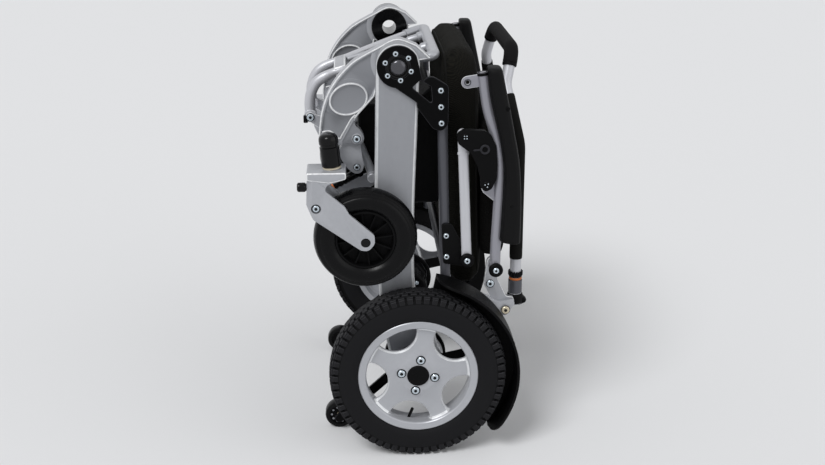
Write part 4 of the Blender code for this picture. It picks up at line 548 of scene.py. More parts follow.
def makeRingGroup():
    # Copies of a template round a circle that lies in the XZ plane
    tree = groupWith("ringOfCopies", [("Template", "NodeSocketObject"), ("Count", "NodeSocketInt"),
                                      ("Radius", "NodeSocketFloat"), ("Turn", "NodeSocketFloat"),
                                      ("Centre", "NodeSocketVector"), ("Material", "NodeSocketMaterial")])
    source = addNode(tree, "NodeGroupInput")
    circle = addNode(tree, "GeometryNodeMeshCircle",
                     {"Vertices": source.outputs["Count"], "Radius": source.outputs["Radius"]})
    template = addNode(tree, "GeometryNodeObjectInfo", {"Object": source.outputs["Template"]})
    outward = addNode(tree, "FunctionNodeAlignRotationToVector",
                      {"Vector": addNode(tree, "GeometryNodeInputPosition").outputs["Position"]}, axis="X")
    copies = addNode(tree, "GeometryNodeInstanceOnPoints",
                     {"Points": circle.outputs["Mesh"], "Instance": template.outputs["Geometry"],
                      "Rotation": outward.outputs["Rotation"]})
    spin = addNode(tree, "ShaderNodeCombineXYZ", {"Z": source.outputs["Turn"]})
    turned = addNode(tree, "GeometryNodeTransform", {"Geometry": copies.outputs["Instances"],
                                                     "Rotation": spin.outputs["Vector"]})
    upright = addNode(tree, "GeometryNodeTransform", {"Geometry": turned.outputs["Geometry"],
                                                      "Rotation": (math.pi / 2, 0.0, 0.0),
                                                      "Translation": source.outputs["Centre"]})
    finishGroup(tree, upright.outputs["Geometry"], source)
    return tree


def makeSpotGroup():
    # A copy of a template on each point of a mesh
    tree = groupWith("copiesOnSpots", [("Template", "NodeSocketObject"), ("Material", "NodeSocketMaterial")])
    source = addNode(tree, "NodeGroupInput")
    template = addNode(tree, "GeometryNodeObjectInfo", {"Object": source.outputs["Template"]})
    copies = addNode(tree, "GeometryNodeInstanceOnPoints",
                     {"Points": source.outputs["Geometry"], "Instance": template.outputs["Geometry"]})
    finishGroup(tree, copies.outputs["Instances"], source)
    return tree


ringGroup = makeRingGroup()
spotGroup = makeSpotGroup()


def groupPiece(name, tree, points, settings):
    # Object made by a node group, then turned into a plain mesh
    mesh = bpy.data.meshes.new(name)
    mesh.from_pydata([tuple(p) for p in points], [], [])
    piece = bpy.data.objects.new(name, mesh)
    bpy.context.scene.collection.objects.link(piece)
    step = piece.modifiers.new(tree.name, "NODES")
    step.node_group = tree
    for item in tree.interface.items_tree:
        if item.in_out == "INPUT" and item.name in settings:
            step[item.identifier] = settings[item.name]
    bakeModifiers(piece)
    bpy.data.objects.remove(settings["Template"], do_unlink=True)
    return piece


def ringPiece(name, template, count, radius, centre, look, turn=0.0):
    return groupPiece(name, ringGroup, [(0, 0, 0)], {"Template": template, "Count": count, "Radius": radius,
                                                     "Turn": turn, "Centre": centre, "Material": looks[look]})


def boltTemplate(radius, height, socket,
                 seat):  # Socket head standing out towards -Y from y = 0, on a thin ring painted dark as the shadow round the head; the socket is painted dark as the shade in it
    edge = radius * 0.16
    profile = [(0.0, -height * 0.3), (socket, -height * 0.3), (socket, -height), (radius - edge, -height),
               (radius, -height + edge), (radius, -0.0004), (radius + seat, -0.0004), (radius + seat, 0.0),
               (0.0, 0.0)]
    piece = turnedPiece("boltTemplate", profile, (0.0, 0.0), 24)

    def dark(face):
        away = awayFrom((0.0, 0.0), face)
        return face.center.y < -1e-5 and (away < socket * 1.01 or away > radius)

    # Painted shade: the socket and the thin ring round the head take the dark panel tone, the ring as the
    # head's shadow
    markFaces(piece, "panel", dark)
    return piece


# Seat is the width of the dark ring painted round each head as its shadow
def boltSet(name, spots, y, radius, height, look, body, socket=0.45, seat=0.0012):
    bolt = boltTemplate(radius, height, radius * socket, seat)
    places = [(x, y, z) for x, z in spots]
    piece = groupPiece(name, spotGroup, places, {"Template": bolt, "Material": looks[look]})
    finishPair(piece, look, body)


# Places read from the frame

def middleOf(node):
    low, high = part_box(node)
    return (low + high) / 2


wheelMiddle = middleOf("rear_tyre_left")
wheelLow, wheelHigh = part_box("rear_tyre_left")
wheelSpot = (wheelMiddle.x, wheelMiddle.z)
wheelRadius = (wheelHigh.z - wheelLow.z) / 2
wheelOut = wheelLow.y
wheelIn = wheelHigh.y
rimLow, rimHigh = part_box("rear_rim_left")
rimRadius = (rimHigh.z - rimLow.z) / 2
casterLow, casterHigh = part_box("caster_tyre_left")
casterSpot = ((casterLow.x + casterHigh.x) / 2, (casterLow.z + casterHigh.z) / 2)
casterRadius = (casterHigh.z - casterLow.z) / 2
casterRimLow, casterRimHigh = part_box("caster_rim_left")
casterRimRadius = (casterRimHigh.z - casterRimLow.z) / 2
hubLow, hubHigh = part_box("hub_pivot_left")
hubSpot = ((hubLow.x + hubHigh.x) / 2, (hubLow.z + hubHigh.z) / 2)


# Rear wheels

tyre = dict(treadCount=64, blockLong=0.0108, blockWide=0.013, blockTall=0.0032)
rim = dict(openings=5, openingTurn=44.0, wall=0.0935, windowRadius=0.0385, windowAt=0.093, disc=0.008,
           dish=0.009,
           boss=0.036, chamfer=0.0046, boltCircle=0.03, boltTurn=-9.0, boltRadius=0.0066, capRadius=0.0198)


def makeTyre():
    middle = (wheelOut + wheelIn) / 2
    half = (wheelIn - wheelOut) / 2
    crown = wheelRadius - tyre["blockTall"]
    bead = rimRadius + 0.0003
    outer = [(bead, -0.84), (bead + 0.004, -0.9), (bead + 0.006, -0.955), (bead + 0.013, -0.985),
             (bead + 0.024, -1.0), (bead + 0.034, -0.985), (crown - 0.01, -0.92), (crown - 0.004, -0.74),
             (crown - 0.001, -0.45), (crown, -0.15)]
    profile = [(r, middle + half * share) for r, share in outer]
    profile += [(r, middle - half * share) for r, share in reversed(outer)]
    carcass = turnedPiece("driveTyre", profile, wheelSpot, 120)
    # The carcass faces near the crown, between the tread blocks, are painted near black: painted shade in the
    # grooves
    markFaces(carcass, "panel", lambda face: awayFrom(wheelSpot, face) > crown - 0.013)
    finishPair(carcass, "tyreRubber", "wheel_SIDE", ["rear_tyre"])
    rows = ((0.0, 0.0, 0.0), (0.5, 0.36, 0.0008), (0.5, -0.36, 0.0008), (0.0, 0.7, 0.0032),
            (0.0, -0.7, 0.0032))
    for index, (phase, share, drop) in enumerate(rows):
        wide = tyre["blockWide"] * (1.0 if abs(share) < 0.5 else 0.85)
        block = blockPiece("blockTemplate", (-0.003, -tyre["blockLong"] / 2, -wide / 2),
                           (tyre["blockTall"] - 0.0001, tyre["blockLong"] / 2, wide / 2))
        rounded(block, 0.0007, 1)
        turn = 2 * math.pi / tyre["treadCount"] * phase
        ring = ringPiece("treadRow%d" % index, block, tyre["treadCount"], crown - drop,
                         (wheelSpot[0], middle + half * share, wheelSpot[1]), "treadRubber", turn)
        finishPair(ring, "treadRubber", "wheel_SIDE")
    lug = blockPiece("lugTemplate", (-0.009, -0.0047, -0.0026), (0.003, 0.0047, 0.0026))
    rounded(lug, 0.0009, 1)
    lugs = ringPiece("sideLugs", lug, tyre["treadCount"], crown - 0.006,
                     (wheelSpot[0], wheelOut + half * 0.135, wheelSpot[1]), "treadRubber")
    finishPair(lugs, "treadRubber", "wheel_SIDE")


def windowOutline(turn, grow):  # Half moon between the spokes, open out to the rim's inner wall
    radius = rim["windowRadius"] + grow
    wall = rim["wall"] - 0.0008
    at = rim["windowAt"]
    reach = math.degrees(math.acos((wall * wall - at * at - radius * radius) / (2 * at * radius)))
    middle = polar(wheelSpot, at, turn)
    inner = arcPoints(middle, radius, turn + reach + 7, turn + 353 - reach, 30)
    span = math.degrees(math.asin(radius * math.sin(math.radians(reach)) / wall))
    outer = arcPoints(wheelSpot, wall, turn - span + 3, turn + span - 3, 16)

    def corner(a, b, sign):
        c = polar(wheelSpot, wall, turn + sign * span)
        return [tuple((1 - t) ** 2 * p + 2 * t * (1 - t) * q + t * t * r for p, q,
                      r in zip(a, c, b)) for t in (0.25, 0.5, 0.75)]

    return inner + corner(inner[-1], outer[0], -1) + outer + corner(outer[-1], inner[0], 1)


def makeRim():
    outerY = rimLow.y
    innerY = rimHigh.y
    discY = outerY + rim["dish"]
    wall = rim["wall"]
    boss = rim["boss"]
    chamfer = rim["chamfer"]
    profile = [(0.0, discY - 0.003), (boss - 0.006, discY - 0.003), (boss - 0.002, discY - 0.0024),
               (boss + 0.004, discY), (wall - 0.012, discY), (wall - 0.005, discY - 0.0012),
               (wall - 0.0012, discY - 0.004), (wall, outerY + 0.0022), (wall + 0.0012, outerY + 0.0012),
               (rimRadius - 0.003, outerY + 0.0002), (rimRadius - 0.0012, outerY),
               (rimRadius, outerY + 0.0012), (rimRadius, innerY), (wall + 0.003, innerY),
               (wall + 0.0002, discY + rim["disc"] + 0.004), (wall - 0.004, discY + rim["disc"]),
               (boss, discY + rim["disc"]), (boss - 0.004, discY + 0.024), (0.0155, discY + 0.024),
               (0.0155, discY + 0.005), (0.0, discY + 0.005)]
    body = turnedPiece("alloyRim", profile, wheelSpot, 128)
    cuts = []
    for i in range(rim["openings"]):
        turn = rim["openingTurn"] + 360 / rim["openings"] * i
        levels = ((outerY - 0.02, chamfer), (discY - 0.003, chamfer), (discY + 0.0034, 0.0),
                  (discY + rim["disc"] + 0.0045, 0.0))
        rows = [[(x, y, z) for x, z in windowOutline(turn, grow)] for y, grow in levels]
        cuts.append(loftPiece("window", rows))
    carved(body, cuts)
    # The window chamfers take the bright edge tone: a painted highlight
    markFaces(body, "edge", lambda face: -0.97 < face.normal.y < -0.25 and awayFrom(wheelSpot, face) > boss
              + 0.008 and discY - 0.0031 < face.center.y < discY + 0.0036)
    finishPair(body, "wheelPaint", "wheel_SIDE", ["rear_rim"])
    face = discY - 0.003
    cap = turnedPiece("wheelCap", [(0.0, face - 0.0042), (rim["capRadius"] * 0.6, face - 0.004),
                                   (rim["capRadius"] * 0.92, face - 0.003), (rim["capRadius"], face - 0.0012),
                                   (rim["capRadius"], face + 0.001), (0.0, face + 0.001)], wheelSpot, 48)
    finishPair(cap, "mouldedNylon", "wheel_SIDE")
    spots = [polar(wheelSpot, rim["boltCircle"], rim["boltTurn"] + 90 * i) for i in range(4)]
    boltSet("wheelBolts", spots, face + 0.0002, rim["boltRadius"], 0.0028, "zincPlate", "wheel_SIDE", 0.45,
            0.0022)
    foot = polar(wheelSpot, rim["wall"] + 0.001, -100)
    tip = polar(wheelSpot, rim["wall"] - 0.022, -98)
    stem = sweptPiece("valveStem", [(foot[0], discY + 0.014, foot[1]), (tip[0], discY + 0.006, tip[1])],
                      0.0028, 16)
    finishPair(stem, "mouldedNylon", "wheel_SIDE")


makeTyre()
makeRim()
print("stage: drive wheels")


# Casters

casterParts = dict(ribs=12, groove=0.0019, web=0.003, hub=0.016, wall=0.004, capRadius=0.008)


def makeCasterTyre():
    middle = (casterLow.y + casterHigh.y) / 2
    half = (casterHigh.y - casterLow.y) / 2
    bead = casterRimRadius + 0.0003
    top = casterRadius
    groove = casterParts["groove"]
    outer = [(bead, -0.72), (bead + 0.003, -0.84), (bead + 0.008, -0.96), (bead + 0.014, -1.0),
             (bead + 0.019, -0.97), (top - 0.013, -0.9), (top - 0.012, -0.865), (top - 0.011 - groove, -0.83),
             (top - 0.01, -0.8), (top - 0.0075, -0.745), (top - 0.0065 - groove, -0.7), (top - 0.0052, -0.66),
             (top - 0.0035, -0.58), (top - 0.0014, -0.34), (top, -0.1)]
    profile = [(r, middle + half * share) for r, share in outer]
    profile += [(r, middle - half * share) for r, share in reversed(outer)]
    piece = turnedPiece("casterTyre", profile, casterSpot, 96)
    finishPair(piece, "casterRubber", "caster_wheel_SIDE", ["caster_tyre"])


def makeCasterRim():
    low = casterRimLow.y
    high = casterRimHigh.y
    middle = (low + high) / 2
    wide = 0.017
    hubHalf = (high - low) / 2
    wall = casterRimRadius - casterParts["wall"]
    hub = casterParts["hub"]
    web = casterParts["web"]
    profile = [(casterRimRadius, middle - wide + 0.001), (casterRimRadius, middle + wide - 0.001),
               (casterRimRadius - 0.001, middle + wide), (wall, middle + wide), (wall - 0.002, middle + web),
               (hub + 0.002, middle + web), (hub, middle + web + 0.002), (hub - 0.001, middle + hubHalf),
               (0.0053, middle + hubHalf), (0.0053, middle - hubHalf), (hub - 0.001, middle - hubHalf),
               (hub, middle - web - 0.002), (hub + 0.002, middle - web), (wall - 0.002, middle - web),
               (wall, middle - wide), (casterRimRadius - 0.001, middle - wide)]
    body = turnedPiece("casterRim", profile, casterSpot, 72)
    finishPair(body, "mouldedNylon", "caster_wheel_SIDE", ["caster_rim"])
    reach = (wall - hub) / 2
    rib = blockPiece("ribTemplate", (-reach, -0.0011, -wide + 0.0045), (reach, 0.0011, wide - 0.0045))
    ribs = ringPiece("casterRibs", rib, casterParts["ribs"], (wall + hub) / 2,
                     (casterSpot[0], middle, casterSpot[1]), "mouldedNylon", 0.13)
    finishPair(ribs, "mouldedNylon", "caster_wheel_SIDE")


# The stem leans back by 5.8 degrees. Heights run up the stem from the top of the yoke.
fork = dict(stem=(-0.144, 0.542), lean=5.8, outer=(-0.2925, -0.2865), inner=(-0.2375, -0.2335),
            yokeThick=0.013,
            knobFrom=-0.2027, knobPlane=-0.2805, knobZ=0.515, knobRadius=0.008,
            boltSpot=(-0.172, 0.48), sink=0.0031)


def stemPoint(height):
    turn = math.radians(fork["lean"])
    x, z = fork["stem"]
    return Vector((x - math.sin(turn) * height, casterPlane, z + math.cos(turn) * height))


def stemDirection():
    return stemPoint(1.0) - stemPoint(0.0)


def forkOutline():
    x, z = fork["stem"]
    ax, az = casterSpot
    top = z - 0.0004
    return filleted([(x - 0.042, top, 0.002), (x - 0.0445, z - 0.055, 0.008), (x - 0.033, z - 0.081, 0.012),
                     (ax - 0.008, az - 0.0135, 0.012), (ax + 0.005, az - 0.015, 0.012),
                     (ax + 0.0155, az - 0.002, 0.012), (ax + 0.015, az + 0.013, 0.01),
                     (x + 0.0275, z - 0.0735, 0.006), (x + 0.02, z - 0.0595, 0.006),
                     (x - 0.0135, z - 0.03, 0.012), (x - 0.008, z - 0.021, 0.008),
                     (x + 0.009, z - 0.015, 0.008), (x + 0.0228, z - 0.011, 0.006), (x + 0.0228, top, 0.003)],
                    8)


def makeFork():
    x, z = fork["stem"]
    y0, y1 = fork["outer"]
    leg = platePiece("casterFork", forkOutline(), y0, y1)
    left = x - 0.0455
    spots = [(left - 0.004, y0 - 0.002), (left + 0.012, y0 - 0.002), (left - 0.004, y0 + 0.006 * 13 / 9)]
    heights = (z - 0.09, z + 0.01)
    wedge = loftPiece("wedge", [[(a + (h - z + 0.09) * 0.045, b, h) for a, b in spots] for h in heights])
    step = platePiece("step", [(x - 0.0317, z - 0.009), (x + 0.013, z - 0.0485), (x + 0.05, z - 0.0485),
                               (x + 0.05, z + 0.01), (x - 0.0317, z + 0.01)], y0 - 0.01, y0 + 0.0012)
    sunk = y0 + fork["sink"]  # The bolt and the cap sit in counterbores, level with the face
    bores = [holePiece(fork["boltSpot"], 0.0085, y0 - 0.01, sunk),
             holePiece(casterSpot, casterParts["capRadius"] + 0.0004, y0 - 0.01, sunk)]
    carved(leg, [wedge, step] + bores)
    backLeg = platePiece("backLeg", forkOutline(), *fork["inner"])
    yoke = platePiece("yoke",
                      filleted([(-0.1864, z - fork["yokeThick"], 0.002), (-0.1864, z, 0.003),
                                (-0.1208, z, 0.003), (-0.1208, z - 0.0115, 0.004),
                                (-0.135, z - 0.0155, 0.006), (-0.15, z - 0.018, 0.006)], 5), y0 - 0.0002,
                      fork["inner"][1] + 0.0002)
    rounded(yoke, 0.0022, 3)
    pin = pinPiece(casterSpot, 0.005, y1 - 0.002, fork["inner"][0] + 0.002)
    collar = barPiece("collar", stemPoint(-0.006), stemPoint(0.0037), 0.0135, 48)
    joined(leg, [backLeg, yoke, pin, collar])
    rounded(leg, 0.0009, 2, 25)
    finishPair(leg, "silverLacquer", "caster_SIDE", ["caster_fork"])
    start = (fork["knobFrom"], fork["knobPlane"], fork["knobZ"])
    radius = fork["knobRadius"]
    knob = turnedAlong("forkKnob", [(0.0, 0.0), (radius * 0.72, 0.0), (radius * 0.95, 0.0016),
                                    (radius, 0.004), (radius, 0.0125), (radius * 0.9, 0.014),
                                    (radius * 0.8, 0.014), (radius * 0.8, 0.0205), (0.0, 0.0205)], start,
                       (1.0, 0.0, 0.0), 40)
    finishPair(knob, "polishedAbs", "caster_SIDE")
    washer = turnedAlong("bearingWasher", [(0.0135, 0.0004), (0.015, 0.0004), (0.0156, 0.001),
                                           (0.0156, 0.003), (0.015, 0.0036), (0.0135, 0.0036)],
                         stemPoint(0.0), stemDirection(), 48)
    finishPair(washer, "yellowZinc", "caster_SIDE")


def makeForkFittings():
    face = fork["outer"][0] + fork["sink"]
    spot = fork["boltSpot"]
    boltSet("forkBolt", [spot], face - 0.0006, 0.0056, 0.0026, "zincPlate", "caster_SIDE", 0.5)
    ring = turnedPiece("forkBoltSeat", [(0.0, face - 0.0009), (0.0078, face - 0.0009),
                                        (0.0082, face - 0.0004), (0.0082, face + 0.0003),
                                        (0.0, face + 0.0003)], spot, 40)
    finishPair(ring, "graphiteCoat", "caster_SIDE")
    radius = casterParts["capRadius"]
    cap = turnedPiece("axleCap", [(0.0, face - 0.0024), (radius * 0.7, face - 0.0023),
                                  (radius, face - 0.0012), (radius, face + 0.0003), (0.0, face + 0.0003)],
                      casterSpot, 40)
    finishPair(cap, "polishedAbs", "caster_SIDE")


stemHousing = dict(radius=0.0165, long=0.056, footLow=0.01, footHigh=0.037)


def makeStemHousing():
    r = stemHousing["radius"]
    top = stemHousing["long"]
    profile = [(0.0, 0.0), (r - 0.0015, 0.0), (r, 0.0012), (r, top - 0.0225), (r - 0.0016, top - 0.0215),
               (r - 0.0016, top - 0.0175), (r, top - 0.0165), (r, top - 0.0105), (r * 0.975, top - 0.0075),
               (r * 0.9, top - 0.0045), (r * 0.76, top - 0.002), (r * 0.55, top - 0.0004),
               (r * 0.3, top + 0.0002), (0.0, top + 0.0003)]
    barrel = turnedAlong("stemHousing", profile, stemPoint(0.004), stemDirection(), 64)
    x, z = fork["stem"]
    foot = blockPiece("foot", (x - 0.0155, casterPlane, z + stemHousing["footLow"]),
                      (x + 0.0075, -0.1903, z + stemHousing["footHigh"]))
    rounded(foot, 0.003, 3)
    joined(barrel, [foot])
    finishPair(barrel, "polishedAbs", "front_frame", ["caster_housing"])


casterPlane = (casterLow.y + casterHigh.y) / 2
makeCasterTyre()
makeCasterRim()
makeFork()
makeForkFittings()
makeStemHousing()
print("stage: casters")


# Large cast arms

arms = dict(rearOuter=-0.232, rearInner=-0.192, frontOuter=-0.19, frontInner=-0.166, head=0.0365, foot=0.051,
            recess=0.003, pocketLow=0.36, pockets=4, rib=0.008, bore=0.0203, axleBore=0.0153,
            ring=(-0.1145, 0.642), ringLong=0.0345, ringShort=0.028, band=0.004, ringTilt=22.0,
            lugBolt=(-0.1015, 0.572))


def pocketLevel(index):  # Height of the rib below each pocket of the rear arm
    top = hubSpot[1] - arms["head"] - arms["rib"]
    return arms["pocketLow"] + (top - arms["pocketLow"]) * index / arms["pockets"]


def makeRearArm():
    head = arcPoints(hubSpot, arms["head"], 0, 180, 32)
    foot = arcPoints(wheelSpot, arms["foot"], 160, 400, 48)
    front = curved([(-0.071, 0.56), (-0.072, 0.47), (-0.0665, 0.3), (-0.06, 0.23)], 5)
    rear = curved([(0.03, 0.225), (0.006, 0.27), (-0.004, 0.33), (-0.004, 0.47)], 5)
    body = platePiece("rearArm", head + front + foot + rear, arms["rearOuter"], arms["rearInner"])
    rounded(body, 0.005, 4, 40)
    levels = [pocketLevel(i) for i in range(arms["pockets"] + 1)]
    cuts = [holePiece(hubSpot, arms["bore"]), holePiece(wheelSpot, arms["axleBore"])]
    half = arms["rib"] / 2
    for low, high in zip(levels, levels[1:]):
        corners = [(-0.0615, low + half), (-0.0115, low + half), (-0.0115, high - half),
                   (-0.0615, high - half)]
        outline = filleted([(x, z, 0.006) for x, z in corners], 5)
        cuts.append(platePiece("pocket", outline, -0.224, -0.182))
    carved(body, cuts)
    markFaces(body, "panel", lambda face: abs(face.center.y + 0.224) < 0.0005)
    finishPair(body, "greyLacquer", "rear_frame", ["rear_arm"])


def frontArmOutline():
    outer = curved([(0.002, 0.7335), (-0.0315, 0.7445), (-0.064, 0.73), (-0.0985, 0.7115), (-0.1145, 0.699),
                    (-0.1315, 0.681), (-0.1465, 0.659), (-0.1565, 0.636), (-0.163, 0.611), (-0.1672, 0.576)],
                   5)
    foot = filleted([(-0.167, 0.57, 0.0), (-0.167, 0.556, 0.006), (-0.157, 0.547, 0.006),
                     (-0.14, 0.547, 0.006), (-0.133, 0.552, 0.003), (-0.131, 0.555, 0.0)], 4)
    inner = curved([(-0.129, 0.558), (-0.118, 0.564), (-0.108, 0.561), (-0.0985, 0.56), (-0.0915, 0.565),
                    (-0.089, 0.575), (-0.095, 0.586), (-0.1035, 0.596), (-0.103, 0.608), (-0.088, 0.626),
                    (-0.07, 0.646)], 5)
    return outer + foot + inner + arcPoints(hubSpot, 0.0385, 222, 362, 32) + [(0.025, 0.7115)]


def recessOutline():
    outer = curved([(-0.069, 0.7225), (-0.096, 0.7075), (-0.111, 0.6955), (-0.1275, 0.678), (-0.142, 0.656),
                    (-0.152, 0.633), (-0.1585, 0.609), (-0.1622, 0.583)], 5)
    low = curved([(-0.157, 0.586), (-0.147, 0.587), (-0.139, 0.5815), (-0.1325, 0.5735)], 5)
    inner = curved([(-0.1025, 0.615), (-0.09, 0.629), (-0.076, 0.648)], 5)
    head = arcPoints(hubSpot, 0.0445, 226, 162, 16)
    return outer + low + [(-0.13, 0.574), (-0.1115, 0.607)] + inner + head


def recessCut(face, away, depth):
    floor = face - away * depth
    panel = platePiece("panel", recessOutline(), floor, face + away * 0.01)
    long = arms["ringLong"]
    short = arms["ringShort"]
    band = arms["band"]
    keep = platePiece("keep", ovalPoints(arms["ring"], long, short, arms["ringTilt"]), face - 0.03,
                      face + 0.03)
    shoulder = platePiece("shoulder", ovalPoints(arms["ring"], long + 0.006, short + 0.006, arms["ringTilt"]),
                          floor - away * 0.002, floor + away * 0.0009)
    carved(panel, [keep, shoulder])
    middle = platePiece("middle", ovalPoints(arms["ring"], long - band, short - band, arms["ringTilt"]),
                        floor, face + away * 0.01)
    return [panel, middle]


def insetOutline(outline, width):  # Closed outline moved inwards by a width
    area = sum(a[0] * b[1] - b[0] * a[1] for a, b in zip(outline, outline[1:] + outline[:1]))
    moved = []
    for i, (x, z) in enumerate(outline):
        before, after = outline[i - 1], outline[(i + 1) % len(outline)]
        way = Vector((before[1] - after[1], after[0] - before[0])).normalized() * math.copysign(width, area)
        moved.append((x + way.x, z + way.y))
    return moved


def makeFrontArm():
    outer = arms["frontOuter"]
    inner = arms["frontInner"]
    body = platePiece("frontArm", frontArmOutline(), outer, inner)
    cuts = [holePiece(hubSpot, arms["bore"])]
    for face, away in ((outer, -1), (inner, 1)):
        cuts += recessCut(face, away, arms["recess"])
    beyond = platePiece("beyond", [(-0.1265, 0.54), (-0.1265, 0.569), (-0.1065, 0.6045), (-0.08, 0.6045),
                                   (-0.08, 0.54)], outer - 0.01, outer + 0.002)
    carved(beyond, [holePiece(arms["lugBolt"], 0.0092)])
    carved(body, cuts + [beyond])
    lug = platePiece("lug", filleted([(-0.132, 0.566, 0.004), (-0.1335, 0.55, 0.01), (-0.1285, 0.532, 0.012),
                                      (-0.1175, 0.516, 0.012), (-0.106, 0.507, 0.01), (-0.094, 0.508, 0.01),
                                      (-0.09, 0.52, 0.01), (-0.093, 0.54, 0.01), (-0.096, 0.568, 0.004)], 6),
                     -0.182, -0.172)
    joined(body, [lug])
    rounded(body, 0.0014, 2, 30)
    rim = insetOutline(frontArmOutline(), 0.0016)
    hidden = [x > -0.1275 and z < 0.607 for x, z in rim]
    start = max(i for i, lost in enumerate(hidden) if lost) + 1
    rim = [rim[(start + i) % len(rim)] for i in range(len(rim) - sum(hidden))]
    oval = ovalPoints(arms["ring"], arms["ringLong"] - 0.002, arms["ringShort"] - 0.002, arms["ringTilt"])
    web = curved([(-0.1605, 0.5848), (-0.154, 0.5866), (-0.147, 0.5862), (-0.139, 0.5806), (-0.133, 0.5728)],
                 5)
    web += curved([(-0.13, 0.5735), (-0.121, 0.5893), (-0.111, 0.6066), (-0.103, 0.615)], 5)
    # Round beads on the rims, the oval ring and the web, painted all over in the bright edge tone as a
    # painted highlight
    for name, outline, closed in (("armBead", rim, False), ("ovalBead", oval, True), ("webBead", web, False)):
        for tag, y in (("Outer", outer), ("Inner", inner)):
            bead = sweptPiece(name + tag, [(x, y, z) for x, z in outline], 0.0015, 10, 1.0, closed)
            markFaces(bead, "edge", lambda f: True)
            finishPair(bead, "silverLacquer", "front_frame")
    floors = [outer + arms["recess"], inner - arms["recess"]]

    def sunk(face):
        return abs(face.normal.y) > 0.9 and min(abs(face.center.y - y) for y in floors) < 0.0011

    markFaces(body, "panel", sunk)
    finishPair(body, "silverLacquer", "front_frame", ["front_arm"])


makeRearArm()
makeFrontArm()
print("stage: arms")


# Damper, fold stop and cross tubes of the front frame

damper = dict(top=(-0.0935, 0.507), end=(-0.1525, 0.4745), plane=-0.1615, radius=0.008)
foldStop = dict(start=(-0.1015, 0.572), end=(-0.0755, 0.499), half=0.0065, thick=0.008, bumper=0.0085)


def slotOutline(start, end, radius, steps=16):
    turn = math.degrees(math.atan2(end[1] - start[1], end[0] - start[0]))
    first = arcPoints(start, radius, turn + 90, turn + 270, steps)
    return first + arcPoints(end, radius, turn - 90, turn + 90, steps)


def makeDamper():
    y = damper["plane"]
    r = damper["radius"]
    top = Vector((damper["top"][0], y, damper["top"][1]))
    end = Vector((damper["end"][0], y, damper["end"][1]))
    long = (end - top).length
    profile = [(0.0, 0.0), (r - 0.001, 0.0), (r, 0.001), (r, long - 0.03), (r - 0.0012, long - 0.029),
               (r - 0.0012, long - 0.0265), (r, long - 0.0255), (r, long - 0.0205), (r - 0.0012, long - 0.02),
               (r - 0.0012, long - 0.016), (r, long - 0.0155), (r, long - 0.012), (r - 0.0016, long - 0.0112),
               (r - 0.0016, long - 0.001), (r - 0.0026, long), (0.0, long)]
    body = turnedAlong("damper", profile, top, end - top, 40)
    root = top + (end - top) * 0.06
    joined(body, [pinPiece((root.x, root.z), r - 0.001, y, -0.1717)])
    finishPair(body, "polishedAbs", "front_frame", ["damper"])
    for name, look, start in (("damperRing", "orangeRing", 0.0108), ("damperCollar", "zincPlate", 0.0048)):
        ring = turnedAlong(name, [(r - 0.0018, long - start), (r - 0.0007, long - start),
                                  (r - 0.0004, long - start + 0.0007), (r - 0.0004, long - start + 0.0024),
                                  (r - 0.0007, long - start + 0.0031), (r - 0.0018, long - start + 0.0031)],
                           top, end - top, 40)
        finishPair(ring, look, "front_frame")


def makeFoldStop():
    outer = arms["frontInner"] + 0.0003
    inner = outer + foldStop["thick"]
    bar = platePiece("foldStop", slotOutline(foldStop["start"], foldStop["end"], foldStop["half"]), outer,
                     inner)
    rounded(bar, 0.0012, 2)
    end = foldStop["end"]
    bumper = turnedPiece("bumper", [(0.0, outer - 0.02), (0.0073, outer - 0.02),
                                    (foldStop["bumper"], outer - 0.0188), (foldStop["bumper"], -0.149),
                                    (0.0, -0.149)], end, 40)
    guard = platePiece("guard",
                       filleted([(-0.069, 0.506, 0.006), (-0.086, 0.4985, 0.006), (-0.146, 0.471, 0.004),
                                 (-0.149, 0.464, 0.004), (-0.14, 0.46, 0.005), (-0.086, 0.469, 0.008),
                                 (-0.072, 0.476, 0.01), (-0.064, 0.494, 0.01)], 6), -0.1525, -0.148)
    rounded(guard, 0.001, 2)
    joined(bar, [bumper, guard])
    finishPair(bar, "silverLacquer", "front_frame", ["fold_stop"])
    (x0, z0), (x1, z1) = foldStop["start"], foldStop["end"]
    rod = barPiece("foldStopRod", (x0, outer + 0.0042, z0 - 0.004), (x1, outer + 0.0042, z1 + 0.004),
                   foldStop["half"] + 0.0014, 40)
    finishPair(rod, "greyLacquer", "front_frame")


def crossTube(name, node, spot, radius, look, body):
    reach = abs(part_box(node)[0].y)
    piece = turnedPiece(name, rodProfile(radius, -reach, reach), spot, 48)
    finishPiece(piece, look, body, [node])


makeDamper()
makeFoldStop()
crossTube("frontCrossTube", "front_cross_tube", (-0.1465, 0.562), 0.011, "graphiteCoat", "front_frame")
crossTube("rearCrossTube", "rear_cross_tube", (-0.036, 0.33), 0.0125, "greyLacquer", "rear_frame")
print("stage: front frame")


# Hub bushes, drive motors, battery

hub = dict(bush=0.02, bore=0.0135, flange=0.035, thick=0.0055, cap=0.0125, end=-0.2393)
motor = dict(radius=0.047, fins=5, finDeep=0.0022, finWide=0.003, screws=4)


